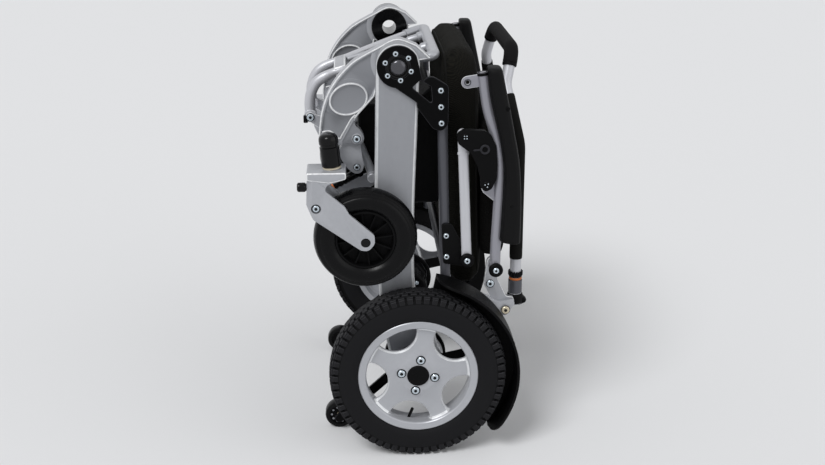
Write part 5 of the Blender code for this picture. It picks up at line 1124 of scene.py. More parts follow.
def makeHubPivots():
    inner = -(abs(arms["frontInner"]) - 0.0003 - hub["thick"])
    outer = -(abs(arms["frontInner"]) - 0.0003)
    end = hub["end"]
    for tag, sign in (("left", 1), ("right", -1)):
        capped = tag == "left"
        profile = [(hub["bore"], inner), (hub["flange"] - 0.001, inner), (hub["flange"], inner - 0.001),
                   (hub["flange"], outer), (hub["bush"], outer), (hub["bush"], end + 0.001),
                   (hub["bush"] - 0.001, end)]
        if capped:
            profile = [(0.0, end + 0.01), (hub["bore"], end + 0.01)] + profile
            profile += [(hub["cap"] + 0.0032, end), (hub["cap"] + 0.0022, end + 0.0012),
                        (hub["cap"] + 0.0006, end + 0.0012), (hub["cap"], end - 0.0016),
                        (hub["cap"] * 0.93, end - 0.0032), (hub["cap"] * 0.78, end - 0.0044),
                        (hub["cap"] * 0.5, end - 0.0055), (hub["cap"] * 0.22, end - 0.0059),
                        (0.0, end - 0.006)]
        else:
            profile += [(hub["bore"] + 0.001, end), (hub["bore"], end + 0.001)]
        piece = turnedPiece("hubPivot_" + tag, [(r, y * sign) for r, y in profile], hubSpot, 64)
        finishPiece(piece, "polishedAbs", "rear_frame", ["hub_pivot_" + tag])
    r = hub["cap"]
    dome = turnedPiece("hubDome", [(0.0, end - 0.0063), (r * 0.22, end - 0.0062), (r * 0.5, end - 0.0058),
                                   (r * 0.78, end - 0.0047), (r * 0.93, end - 0.0035),
                                   (r + 0.0002, end - 0.0019), (r + 0.0002, end - 0.0008),
                                   (0.0, end - 0.0008)], hubSpot, 64)
    finishPiece(dome, "blackChrome", "rear_frame")


def makeMotors():
    low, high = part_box("drive_motor_left")
    r = motor["radius"]
    end = high.y
    profile = [(0.0, end), (r * 0.8, end), (r - 0.006, end - 0.001), (r - 0.0035, end - 0.0035)]
    start = end - 0.01
    for i in range(motor["fins"]):
        y = start - i * 0.0085
        profile += [(r - 0.003, y), (r - 0.003 - motor["finDeep"], y - 0.0006),
                    (r - 0.003 - motor["finDeep"], y - motor["finWide"]),
                    (r - 0.003, y - motor["finWide"] - 0.0006)]
    profile += [(r - 0.003, -0.1535), (r, -0.155), (r, arms["rearInner"]), (0.015, arms["rearInner"]),
                (0.015, low.y + 0.001), (0.014, low.y), (0.0, low.y)]
    body = turnedPiece("driveMotor", profile, wheelSpot, 72)
    finishPair(body, "blackCoat", "rear_frame", ["drive_motor"])
    screw = turnedPiece("motorScrews", [(0.0, 0.0022), (0.0018, 0.0022), (0.0018, 0.003), (0.0036, 0.003),
                                        (0.004, 0.0026), (0.004, -0.001), (0.0, -0.001)], (0.0, 0.0), 20)
    spots = [polar(wheelSpot, r * 0.62, 45 + 90 * i) for i in range(motor["screws"])]
    screws = groupPiece("motorScrewSet", spotGroup, [(x, end, z) for x, z in spots],
                        {"Template": screw, "Material": looks["zincPlate"]})
    finishPair(screws, "zincPlate", "rear_frame")


battery = dict(half=0.14, rail=0.012, railX=-0.038)


def makeBattery():
    outline = filleted([(-0.098, 0.437, 0.007), (0.046, 0.437, 0.007), (0.046, 0.585, 0.005),
                        (0.033, 0.592, 0.005), (0.033, 0.6545, 0.005), (0.01, 0.633, 0.008),
                        (-0.012, 0.622, 0.008), (-0.098, 0.622, 0.008)], 6)
    half = battery["half"]
    case = platePiece("batteryPack", outline, -half, half)
    rounded(case, 0.004, 3, 40)
    grip = blockPiece("grip", (-0.11, -0.05, 0.57), (-0.084, 0.05, 0.6))
    rounded(grip, 0.004, 3)
    seams = [blockPiece("seam", (-0.11, -0.15, 0.554), (-0.0965, 0.15, 0.5552))]
    for y in (-0.085, 0.085):
        seams.append(blockPiece("seam", (-0.11, y - 0.0006, 0.4), (-0.0965, y + 0.0006, 0.7)))
    carved(case, [grip] + seams)
    reach = abs(arms["rearInner"]) - 0.0003
    thin = battery["rail"] / 2
    rails = []
    for index in (2, 3):
        x, z = battery["railX"], pocketLevel(index)
        rail = blockPiece("rail", (x - thin, -reach, z - thin), (x + thin, reach, z + thin))
        rails.append(rounded(rail, 0.0015, 2))
    joined(case, rails)
    finishPiece(case, "mouldedNylon", "rear_frame", ["battery_pack"])


makeHubPivots()
makeMotors()
makeBattery()
print("stage: hub and drive")


# Fenders and anti-tip rollers

fender = dict(inner=0.179, thick=0.0025, start=79.0, end=-43.0, edge=-0.291, side=-0.2323, skirt=0.014,
              plate=0.0025,
              stayTurn=12.0, stayHalf=0.011, lip=0.0022, visualSkirt=0.03, corner=0.034)
tip = dict(spot=(-0.143, 0.027), radius=0.027, plane=-0.166, width=0.022, armHalf=0.0085, clamp=0.0565,
           bore=0.0478,
           armOuter=-0.19, armThick=0.006)


def makeFender():
    inner = fender["inner"]
    outer = inner + fender["thick"]
    edge = fender["edge"]
    side = fender["side"]
    plate = side - fender["plate"]
    low = inner - fender["visualSkirt"]
    section = [(outer - 0.0009, edge), (outer, edge + 0.001), (outer, edge + 0.008), (outer, side - 0.0015),
               (outer - 0.0015, side), (low + 0.0008, side), (low, side - 0.0008), (low, plate + 0.0005),
               (low + 0.0006, plate), (inner - 0.002, plate), (inner, plate - 0.002), (inner, edge + 0.0035),
               (inner - fender["lip"], edge + 0.003), (inner - fender["lip"], edge + 0.0006),
               (inner - fender["lip"] + 0.0006, edge)]
    steps = 72
    arc = math.radians(fender["start"] - fender["end"])
    rows = []
    for i in range(steps + 1):
        turn = math.radians(fender["end"]) + arc * i / steps
        away = min(i, steps - i) / steps * arc * inner
        near = min(away / fender["corner"], 1.0)
        reach = 0.25 + 0.75 * math.sqrt(1 - (1 - near) ** 2)  # The free corners of the sheet are cut round
        rows.append([(wheelSpot[0] + r * math.cos(turn), side + (y - side) * (reach if y < plate else 1.0),
                      wheelSpot[1] + r * math.sin(turn)) for r, y in section])
    shell = loftPiece("fender", rows)
    near = polar(wheelSpot, 0.034, fender["stayTurn"])
    far = polar(wheelSpot, inner - fender["skirt"] / 2, fender["stayTurn"])
    stay = platePiece("stay", slotOutline(near, far, fender["stayHalf"]), side - 0.0002, plate + 0.0001)
    collar = holePiece(wheelSpot, 0.04, side, plate)
    carved(collar, [holePiece(wheelSpot, 0.018)])
    joined(shell, [stay, collar])
    carved(shell, [holePiece(wheelSpot, 0.018)])
    finishPair(shell, "mouldedNylon", "rear_frame", ["fender"], sharp=35)
    spots = [polar(wheelSpot, inner - 0.007, a) for a in (60.0, 30.0, -25.0)]
    boltSet("fenderScrews", spots, plate + 0.0002, 0.0038, 0.0016, "blackCoat", "rear_frame")


def makeTip():
    spot = tip["spot"]
    lean = math.degrees(math.atan2(spot[1] - wheelSpot[1], spot[0] - wheelSpot[0]))
    spread = math.degrees(math.asin(tip["armHalf"] / tip["clamp"]))
    outline = (arcPoints(wheelSpot, tip["clamp"], lean + spread, lean + 360 - spread, 56)
               + arcPoints(spot, tip["armHalf"], lean - 90, lean + 90, 16))
    outer = tip["armOuter"]
    arm = platePiece("tipArm", outline, outer, outer + tip["armThick"])
    carved(arm, [holePiece(wheelSpot, tip["bore"])])
    half = tip["width"] / 2
    y = tip["plane"]
    end = y + half + 0.0015
    pin = turnedPiece("pin", [(0.0, outer + 0.002), (0.004, outer + 0.002), (0.004, end), (0.007, end),
                              (0.007, end + 0.003), (0.0, end + 0.003)], spot, 32)
    joined(arm, [pin])
    rounded(arm, 0.0008, 2, 40)
    finishPair(arm, "blackCoat", "anti_tip_SIDE", ["anti_tip_arm"])
    r = tip["radius"]
    tread = [(0.0195, y - half), (r - 0.0035, y - half), (r - 0.001, y - half + 0.0012),
             (r, y - half + 0.004), (r, y + half - 0.004), (r - 0.001, y + half - 0.0012),
             (r - 0.0035, y + half), (0.0195, y + half)]
    wheel = turnedPiece("tipWheel", tread, spot, 64)
    finishPair(wheel, "casterRubber", "anti_tip_roller_SIDE", ["anti_tip_wheel"])
    core = [(0.0043, y - half + 0.001), (0.011, y - half + 0.001), (0.0122, y - half + 0.0035),
            (0.0172, y - half + 0.0035), (0.018, y - half + 0.0006), (0.01952, y - half + 0.0006),
            (0.01952, y + half - 0.0006), (0.018, y + half - 0.0006), (0.0172, y + half - 0.0035),
            (0.0122, y + half - 0.0035), (0.011, y + half - 0.001), (0.0043, y + half - 0.001)]
    finishPair(turnedPiece("tipWheelCore", core, spot, 48), "mouldedNylon", "anti_tip_roller_SIDE")
    boltSet("tipBolt", [spot], y - half + 0.0012, 0.0056, 0.0022, "yellowZinc", "anti_tip_roller_SIDE", 0.42)
    stud = pinPiece((0.0, 0.0), 0.0021, 0.0002, 0.001, 12)
    holes = groupPiece("tipHoles", spotGroup,
                       [(x, y - half + 0.0027, z) for x,
                        z in (polar(spot, 0.015, 36 * i) for i in range(10))],
                       {"Template": stud, "Material": looks["zincPlate"]})
    finishPair(holes, "greyLacquer", "anti_tip_roller_SIDE")


makeFender()
makeTip()
print("stage: fenders and rollers")


# Footrest

footrest = dict(pivot=(-0.1845, 0.5815), half=0.05, rail=0.0098, loop=0.0065, block=(-0.128, 0.6635),
                blockLong=0.0225, blockThick=0.0155, blockLean=16.0, end=(0.036, 0.7065), endHalf=0.1465,
                castThick=0.017, castWide=0.0103, rod=0.005, finger=0.0075, fingerLong=0.032, ear=0.006,
                pin=0.004)


def footHalf(x):
    share = (x - footrest["block"][0]) / (footrest["end"][0] - footrest["block"][0])
    return footrest["half"] + (footrest["endHalf"] - footrest["half"]) * min(max(share, 0.0), 1.0)


def footPath():
    spine = [footrest["pivot"], (-0.1855, 0.602), (-0.1825, 0.622), (-0.173, 0.6405), (-0.156, 0.6525),
             (-0.128, 0.6635), (-0.07, 0.68), (-0.03, 0.6905), (-0.002, 0.6975)]
    near = curved([(x, -footHalf(x), z) for x, z in spine], 6)
    far = [Vector((p.x, -p.y, p.z)) for p in near]
    x, z = footrest["end"]
    end = Vector((x, -footrest["endHalf"], z))
    farEnd = Vector((x, footrest["endHalf"], z))
    return near[:-1] + bentPath([near[-1], end, farEnd, far[-1]], 0.03, 10) + far[:-1][::-1]


def leaned(piece, spot, degrees):  # Turns a piece about a line along Y through a spot
    x, z = spot
    turn = (Matrix.Translation((x, 0.0, z)) @ Matrix.Rotation(-math.radians(degrees), 4,
                                                              "Y") @ Matrix.Translation((-x, 0.0, -z)))
    piece.data.transform(turn)
    return piece


def makeFootFrame():
    path = footPath()
    radii = []
    for p in path:
        share = min(max((p.x - footrest["block"][0] + 0.03) / 0.03, 0.0), 1.0)
        radii.append(footrest["rail"] + (footrest["loop"] - footrest["rail"]) * share)
    last = len(path) - 1
    frame = sweptPiece("footrestFrame", path, lambda t: radii[min(round(t * last), last)], 32)
    x, z = footrest["block"]
    half = footrest["blockLong"] / 2
    lift = footrest["blockThick"] / 2
    reach = footrest["half"] + 0.004
    cross = blockPiece("footrestBlock", (x - half, -reach, z - lift), (x + half, reach, z + lift))
    rounded(cross, 0.0028, 3)
    leaned(cross, footrest["block"], footrest["blockLean"])
    adds = []
    bores = []
    for side in (-1, 1):
        y0 = side * (footrest["half"] - footrest["rail"] - 0.0005)
        y1 = side * (footrest["half"] + footrest["rail"] + 0.0005)
        r = footrest["rail"] + 0.002
        low, high = min(y0, y1), max(y0, y1)
        adds.append(turnedPiece("eye", rodProfile(r, low, high, 0.001), footrest["pivot"], 48))
        bores.append(holePiece(footrest["pivot"], footrest["pin"] + 0.0003, low - 0.01, high + 0.01, 60))
    joined(frame, adds)
    carved(frame, bores)
    finishPiece(frame, "brightTube", "footrest", ["footrest_frame"])
    finishPiece(cross, "silverLacquer", "footrest")


def makeFootPlate():
    x, z = footrest["end"]
    half = footrest["castThick"] / 2
    wide = footrest["castWide"]
    reach = footrest["endHalf"]
    rail = Vector((-0.002, -footHalf(-0.002), 0.6975))
    back = Vector((-0.03, -footHalf(-0.03), 0.6905))
    near = [back, rail, Vector((x, -reach, z))]
    path = bentPath(near + [Vector((p.x, -p.y, p.z)) for p in reversed(near)], 0.032, 14)

    def taper(t):  # The casting narrows to the rails at both ends
        return wide - (wide - 0.0068) * max(1 - min(t, 1 - t) / 0.1, 0.0)

    plate = sweptPiece("footplate", path, taper, 36, half / wide, False, (0.0, 0.0, 1.0))
    adds = []
    for side in (-1, 1):
        start = Vector((footrest["block"][0] + footrest["blockLong"] / 2 + 0.001, side * 0.036,
                        footrest["block"][1] + 0.003))
        end = Vector((x - wide + 0.003, side * 0.058, z - 0.001))
        long = (end - start).length
        r = footrest["finger"]
        adds.append(barPiece("rod", start, end, footrest["rod"], 32))
        neck = long - footrest["fingerLong"]
        adds.append(turnedAlong("finger", [(0.0, neck), (r * 0.55, neck), (r * 0.85, neck + 0.0012),
                                           (r, neck + 0.0035), (r, long - 0.012), (r + 0.0022, long - 0.0095),
                                           (r + 0.0022, long - 0.001), (r, long + 0.001),
                                           (0.0, long + 0.001)], start, (end - start) / long, 32))
    joined(plate, adds)
    finishPiece(plate, "silverLacquer", "footrest", ["footplate"])


def makeFootBracket():
    tube = (-0.1465, 0.562)
    r = 0.011
    out = footrest["half"] + footrest["rail"] + 0.0005 + 0.0003 + footrest["ear"]
    inside = out - footrest["ear"]
    pivot = footrest["pivot"]
    bore = r + 0.0003
    outer = bore + 0.005
    sleeve = turnedPiece("footrestBracket", [(bore, -out), (outer, -out), (outer, out), (bore, out)], tube,
                         64)
    outline = arcPoints(pivot, 0.0085, 40, 220, 20) + arcPoints(tube, r + 0.0045, -140, 60, 24)
    adds = []
    for side in (-1, 1):
        adds.append(rounded(platePiece("ear", outline, side * inside, side * out), 0.001, 2))
    pin = footrest["pin"]
    end = out + 0.003
    adds.append(pinPiece(pivot, pin, -end, end))
    joined(sleeve, adds)
    carved(sleeve, [holePiece(tube, bore, -out - 0.01, out + 0.01)])
    finishPiece(sleeve, "silverLacquer", "front_frame", ["footrest_bracket"])
    boltSet("footrestPivotBolt", [pivot], -out - 0.0028, 0.0064, 0.0024, "zincPlate", "front_frame")
    stop = blockPiece("footrestStop", (-0.1975, -out - 0.0002, 0.57), (-0.1895, -inside, 0.584))
    rounded(stop, 0.0015, 2)
    finishPair(stop, "mouldedNylon", "front_frame")


makeFootFrame()
makeFootPlate()
makeFootBracket()
print("stage: footrest")


# Seat frame. The tubes lean, so their middle comes from the height.
seat = dict(top=(0.0415, 0.694), bottom=(0.052, 0.305), tube=0.009, plane=-0.223,
            hubPlate=(-0.2383, -0.2323), linkPlate=(-0.2373, -0.2323), hingePlate=(-0.2295, -0.2215),
            groove=0.0093)


def seatX(z):
    share = (seat["top"][1] - z) / (seat["top"][1] - seat["bottom"][1])
    return seat["top"][0] + (seat["bottom"][0] - seat["top"][0]) * share


def makeSeatTubes():
    plane = seat["plane"]
    r = seat["tube"]
    low = seat["bottom"][1]
    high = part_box("seat_tube_left")[1].z
    path = [(seatX(low + (high - low) * i / 60), plane, low + (high - low) * i / 60) for i in range(61)]
    tube = sweptPiece("seatTube", path, r, 40)
    for v in tube.data.vertices:  # The upper end is pressed flat where it is bolted to the bracket
        share = min(max((v.co.z - 0.636) / 0.016, 0.0), 1.0)
        share = share * share * (3 - 2 * share)
        v.co.y = plane + (v.co.y - plane) * (1 - 0.42 * share)
        dent = math.exp(-((v.co.z - 0.655) / 0.006) ** 2) * 0.0016
        if v.co.y < plane:
            v.co.y += dent * max(0.0, 1 - abs(v.co.x - seatX(v.co.z)) / 0.006)
    finishPair(tube, "graphiteCoat", "seat_frame", ["seat_tube"])
    for name, node in (("seatCrossFront", "seat_cross_front"), ("seatCrossRear", "seat_cross_rear")):
        z = middleOf(node).z
        crossTube(name, node, (seatX(z), z), 0.009, "graphiteCoat", "seat_frame")


def makeHubBracket():
    outline = (arcPoints(hubSpot, 0.0355, 30, 262,
                         40) + filleted([(-0.002, 0.64, 0.012), (0.026, 0.6015, 0.012),
                                         (0.042, 0.5945, 0.014), (0.0525, 0.608, 0.014),
                                         (0.0525, 0.674, 0.01), (0.015, 0.697, 0.014)], 6))
    body = platePiece("hubBracket", outline, *seat["hubPlate"])
    window = platePiece("window",
                        filleted([(-0.0085, 0.671, 0.0025), (0.005, 0.684, 0.0035), (0.0235, 0.673, 0.0035),
                                  (0.0255, 0.643, 0.0025)], 6), -0.25, -0.22)
    carved(body, [window, holePiece(hubSpot, 0.0203)])
    rounded(body, 0.0008, 2)
    finishPair(body, "blackCoat", "seat_frame", ["hub_bracket"])


knob = dict(radius=0.0125, thick=0.007, bolt=0.0052)


def knobPiece(name, spot, y, body):  # Black pressed washer with a zinc bolt in its middle
    r = knob["radius"]
    t = knob["thick"]
    cover = turnedPiece(name, [(0.0, y), (r - 0.0008, y), (r, y - 0.0008), (r, y - t + 0.0022),
                               (r - 0.0012, y - t + 0.0006), (r - 0.0024, y - t), (r - 0.0045, y - t),
                               (r - 0.0056, y - t + 0.001), (0.0, y - t + 0.001)], spot, 56)
    finishPair(cover, "mouldedNylon", body)
    boltSet(name + "Bolt", [spot], y - t + 0.0012, knob["bolt"], 0.0022, "zincPlate", body, 0.42)


def makeLinkBracket():
    outline = filleted([(0.0425, 0.43, 0.005), (0.06, 0.43, 0.008), (0.076, 0.4, 0.012),
                        (0.096, 0.384, 0.012), (0.101, 0.36, 0.014), (0.087, 0.35, 0.012),
                        (0.046, 0.356, 0.006)], 7)
    body = platePiece("linkBracket", outline, *seat["linkPlate"])
    rounded(body, 0.0008, 2)
    joined(body, [pinPiece(linkSpot, 0.004, seat["linkPlate"][1] - 0.001, -0.2478)])
    finishPair(body, "mouldedNylon", "seat_frame", ["link_bracket"])
    knobPiece("linkKnob", linkSpot, -0.2466, "seat_frame")


def makeSeatHinge():
    outline = filleted([(0.044, 0.32, 0.006), (0.06, 0.32, 0.006), (0.112, 0.297, 0.024),
                        (0.148, 0.276, 0.012), (0.16, 0.279, 0.006), (0.174, 0.283, 0.004),
                        (0.1765, 0.272, 0.004), (0.16, 0.247, 0.012), (0.145, 0.256, 0.01),
                        (0.108, 0.279, 0.024), (0.056, 0.301, 0.01)], 7)
    bar = platePiece("seatHinge", outline, *seat["hingePlate"])
    spots = [(seatX(z), seat["plane"], z) for z in (0.4, 0.3047)]
    groove = sweptPiece("groove", spots, seat["groove"], 40)
    carved(bar, [groove, holePiece(backPivot, 0.0053)])
    rounded(bar, 0.0009, 2, 40)
    finishPair(bar, "silverLacquer", "seat_frame", ["seat_hinge"])
    boltSet("seatHingeBolts", [(0.06, 0.3085)], -0.2293, 0.0045, 0.002, "zincPlate", "seat_frame")


linkSpot = (0.087, 0.366)
backPivot = (0.16, 0.262)
makeSeatTubes()
makeHubBracket()
makeLinkBracket()
makeSeatHinge()
print("stage: seat frame")


# Back frame

back = dict(plane=-0.2, tube=0.01, leg=(0.181, 0.284), straight=0.56, shoulder=(0.161, -0.143, 0.655),
            top=(0.174, -0.125, 0.712), bend=0.04, bar=0.008, barX=0.1683, barZ=0.42, grip=0.0128,
            gripFrom=0.687,
            casting=(-0.2212, -0.2117), sleeve=0.0116, sleeveLow=0.345, sleeveHigh=0.64)


def backPath():
    x, z = back["leg"]
    y = back["plane"]
    near = [Vector(p) for p in ((x, y, z), (x - 0.002, y, back["straight"]), back["shoulder"], back["top"])]
    far = [Vector((p.x, -p.y, p.z)) for p in near][::-1]
    return bentPath(near + far, back["bend"], 12)


def makeBackFrame():
    frame = sweptPiece("backFrame", backPath(), back["tube"], 40)
    reach = abs(back["plane"]) + 0.001
    joined(frame, [pinPiece((back["barX"], back["barZ"]), back["bar"], -reach, reach, 40)])
    finishPiece(frame, "brightTube", "back_rest", ["back_frame"])
    whole = backPath()
    top = [p for p in whole if p.z > back["gripFrom"]]
    grip = sweptPiece("pushGrip", top, back["grip"], 40)
    rounded(grip, 0.0016, 3, 50)
    finishPiece(grip, "evaFoam", "back_rest", ["push_grip"], sharp=50)
    for index, first in enumerate((whole, whole[::-1])):
        at = next(i for i, p in enumerate(first) if p.z > back["gripFrom"])
        here = first[at]
        along = (first[at] - first[at - 1]).normalized()
        r = back["tube"]
        ring = turnedAlong("gripRing_" + ("left", "right")[index],
                           [(r - 0.001, -0.004), (r + 0.0022, -0.004), (r + 0.0028, -0.0032),
                            (r + 0.0028, 0.0012),
                            (r - 0.001, 0.0012)], here, along, 48)
        finishPiece(ring, "mouldedNylon", "back_rest")


def makeBackCasting():
    outline = filleted([(0.126, 0.356, 0.01), (0.138, 0.364, 0.01), (0.149, 0.356, 0.008),
                        (0.146, 0.318, 0.01), (0.162, 0.284, 0.008), (0.1745, 0.2825, 0.005),
                        (0.177, 0.274, 0.005), (0.1715, 0.261, 0.008), (0.16, 0.25, 0.01),
                        (0.145, 0.256, 0.012), (0.121, 0.308, 0.01)], 7)
    body = platePiece("backCasting", outline, *back["casting"])
    rounded(body, 0.0012, 3)
    x, z = back["leg"]
    y = back["plane"]
    boss = barPiece("boss", (x, y, z - 0.022), (x, y, z - 0.0003), 0.012, 48)
    root = back["casting"][0] + 0.002
    hinge = pinPiece(backPivot, 0.005, root, -0.2325)
    joined(body, [boss, hinge, pinPiece(armSpot, 0.004, root, -0.2573)])
    finishPair(body, "silverLacquer", "back_rest", ["back_casting"])
    knobPiece("armKnob", armSpot, -0.2553, "back_rest")
    boltSet("backCastingBolts", [(0.1325, 0.3095)], -0.2211, 0.0066, 0.0024, "zincPlate", "back_rest", 0.42)
    boltSet("backHingeBolt", [backPivot], -0.2322, 0.0072, 0.0026, "yellowZinc", "back_rest", 0.42)


def makeBackFoot():  # Fittings on the foot of the back tube, from above: sleeve, collar, ring, clamp, knob
    x, z = back["leg"]
    y = back["plane"]
    lean = -0.002 / (back["straight"] - z)

    def at(height):
        return (x + lean * (height - z), y, height)

    def threaded(name, low, high, radius, look, edge=0.0008):
        long = high - low
        r = back["tube"] - 0.0006
        piece = turnedAlong(name, [(r, 0.0), (radius - edge, 0.0), (radius, edge), (radius, long - edge),
                                   (radius - edge, long), (r, long)], at(low),
                            Vector(at(high)) - Vector(at(low)), 56)
        finishPair(piece, look, "back_rest")

    near = [p for p in backPath() if p.y < -0.02]
    dense = []
    for a, b in zip(near, near[1:]):
        steps = max(1, round((b - a).length / 0.006))
        dense += [a + (b - a) * k / steps for k in range(steps)]
    dense = [p for i, p in enumerate(dense) if back["sleeveLow"] < p.z < back["sleeveHigh"]
             and (p - dense[i - 1]).length > 0.0008]
    sleeve = sweptPiece("backSleeve", dense, lambda t: back["sleeve"] - (0.0 if 0 < t < 1 else 0.0004), 36)
    finishPair(sleeve, "wovenTape", "back_rest")
    threaded("backClamp", 0.2838, 0.3086, 0.0125, "graphiteCoat")
    threaded("backRing", 0.3092, 0.3136, 0.0118, "orangeRing", 0.0012)
    threaded("backCollar", 0.3144, 0.324, 0.0118, "mouldedNylon")
    tooth = blockPiece("toothTemplate", (-0.0022, -0.0016, -0.0042), (0.0014, 0.0016, 0.0042))
    rounded(tooth, 0.0006, 1)
    teeth = ringPiece("backTeeth", tooth, 14, 0.0118, (0.0, 0.0, 0.0), "mouldedNylon", 0.1)
    teeth.data.transform(Matrix.Translation(at(0.3215)) @ Matrix.Rotation(math.pi / 2, 4, "X"))
    finishPair(teeth, "mouldedNylon", "back_rest")
    nut = turnedAlong("backKnob", [(0.0, 0.0), (0.01, 0.0), (0.0132, 0.002), (0.0148, 0.007), (0.0148, 0.015),
                                   (0.0136, 0.0195), (0.011, 0.0215), (0.0, 0.0215)], (x, y, z - 0.022),
                      (0, 0, 1), 40)
    wing = platePiece("wing",
                      filleted([(0.18, 0.279, 0.003), (0.1925, 0.28, 0.004), (0.2024, 0.27, 0.004),
                                (0.2, 0.264, 0.003), (0.188, 0.259, 0.004), (0.18, 0.262, 0.003)], 6),
                      y - 0.006, y + 0.006)
    rounded(wing, 0.002, 3)
    other = platePiece("wing",
                       filleted([(0.166, 0.268, 0.003), (0.182, 0.276, 0.003), (0.182, 0.264, 0.003),
                                 (0.17, 0.26, 0.003)], 6), y - 0.005, y + 0.005)
    rounded(other, 0.0018, 2)
    joined(nut, [wing, other])
    finishPair(nut, "mouldedNylon", "back_rest", sharp=40)


armSpot = (0.137, 0.35)
makeBackFrame()
makeBackCasting()
makeBackFoot()
print("stage: back frame")


# Armrests

armrest = dict(plane=-0.245, tube=0.0093, ear=(0.083, 0.681), earRadius=0.0105, earThick=0.003,
               bracketIn=-0.247, bracketOut=-0.2583, boss=(0.113, 0.569),
               linkTop=(0.0765, 0.592), linkWide=0.0175, linkThick=0.0075, linkPlane=-0.24205,
               collarDown=0.036)
armSpine = [(0.137, 0.35), (0.137, 0.39), (0.1392, 0.444), (0.141, 0.498), (0.1392, 0.548), (0.1295, 0.596),
            (0.117, 0.64), (0.108, 0.698)]


def makeArmTube():
    y = armrest["plane"]
    r = armrest["tube"]
    path = [(p[0], y, p[1]) for p in curved(armSpine, 10)]
    bar = sweptPiece("armrestTube", path, r, 40)
    eye = turnedPiece("eye", rodProfile(r + 0.0012, y - r, y + r), armSpot, 48)
    gusset = platePiece("gusset",
                        filleted([(0.136, 0.515, 0.002), (0.123, 0.506, 0.004), (0.108, 0.499, 0.005),
                                  (0.113, 0.489, 0.005), (0.136, 0.47, 0.002)], 6), -0.2467, -0.2407)
    rounded(gusset, 0.001, 2)
    ez = armrest["ear"][1]
    ear = platePiece("ear", slotOutline(armrest["ear"], (0.109, ez + 0.004), armrest["earRadius"]),
                     y - armrest["earThick"] / 2, y + armrest["earThick"] / 2)
    carved(ear, [holePiece(armrest["ear"], 0.0032)])
    rounded(ear, 0.0006, 2)
    joined(bar, [eye, gusset, ear])
    carved(bar, [holePiece(armSpot, 0.0043)])
    finishPair(bar, "anodisedTube", "armrest_SIDE", ["armrest_tube"])
    washer = turnedPiece("earRing", [(0.0036, y - 0.0025), (0.0054, y - 0.0025), (0.006, y - 0.0019),
                                     (0.006, y + 0.002), (0.0036, y + 0.002)], armrest["ear"], 40)
    finishPair(washer, "graphiteCoat", "armrest_SIDE")
    top = Vector(path[-1])
    along = (Vector(path[-1]) - Vector(path[-2])).normalized()
    cap = turnedAlong("armrestCap", [(0.005, -0.002), (0.005, 0.0006), (0.0062, 0.0016), (r - 0.001, 0.0016),
                                     (r + 0.0006, 0.0004), (r + 0.0008, -0.004), (r - 0.001, -0.0042),
                                     (r - 0.001, -0.002)], top - along * 0.0012, along, 48)
    finishPair(cap, "mouldedNylon", "armrest_SIDE")
    plug = turnedAlong("armrestPlug", [(0.0, -0.002), (0.0048, -0.002), (0.0048, 0.0001), (0.0036, 0.0006),
                                       (0.0, 0.0008)], top - along * 0.0012, along, 40)
    finishPair(plug, "greyLacquer", "armrest_SIDE")


def makeArmLink():
    y = armrest["linkPlane"]
    wide = armrest["linkWide"] / 2
    thick = armrest["linkThick"] / 2
    bottom = Vector((linkSpot[0], y, linkSpot[1]))
    top = Vector((armrest["linkTop"][0], y, armrest["linkTop"][1]))
    long = (top - bottom).length
    along = (top - bottom).normalized()
    steps = 60
    path = [bottom + along * (long * i / steps) for i in range(steps + 1)]
    bar = sweptPiece("armrestLink", path, wide, 40, thick / wide)
    across = along.cross(Vector((0.0, 1.0, 0.0)))
    for v in bar.data.vertices:  # A shallow groove runs down the middle of the flat bar
        h = (v.co - bottom).dot(along)
        side = (v.co - bottom).dot(across)
        groove = math.exp(-(side / 0.0022) ** 2) * 0.001 * min(max((h - 0.03) / 0.02, 0.0), 1.0)
        groove *= min(max((long - 0.045 - h) / 0.02, 0.0), 1.0)
        v.co.y += groove if v.co.y < y else -groove
    at = bottom + along * (long - armrest["collarDown"])
    collar = sweptPiece("collar", [at, at + along * 0.0008, at + along * 0.0042, at + along * 0.005],
                        lambda t: wide + (0.0013 if 0.1 < t < 0.9 else 0.0006), 40,
                        (thick + 0.0003) / (wide + 0.0013))
    eyes = [turnedPiece("eye", rodProfile(wide + 0.0005, y - thick, y + thick, 0.0009), (p.x, p.z),
                        48) for p in (bottom, top)]
    joined(bar, [collar] + eyes)
    carved(bar, [holePiece(linkSpot, 0.0043)])
    finishPair(bar, "brightTube", "arm_link_SIDE", ["armrest_link"])
    boltSet("linkTopBolt", [armrest["linkTop"]], y - thick + 0.0002, 0.004, 0.0008, "zincPlate",
            "arm_link_SIDE")


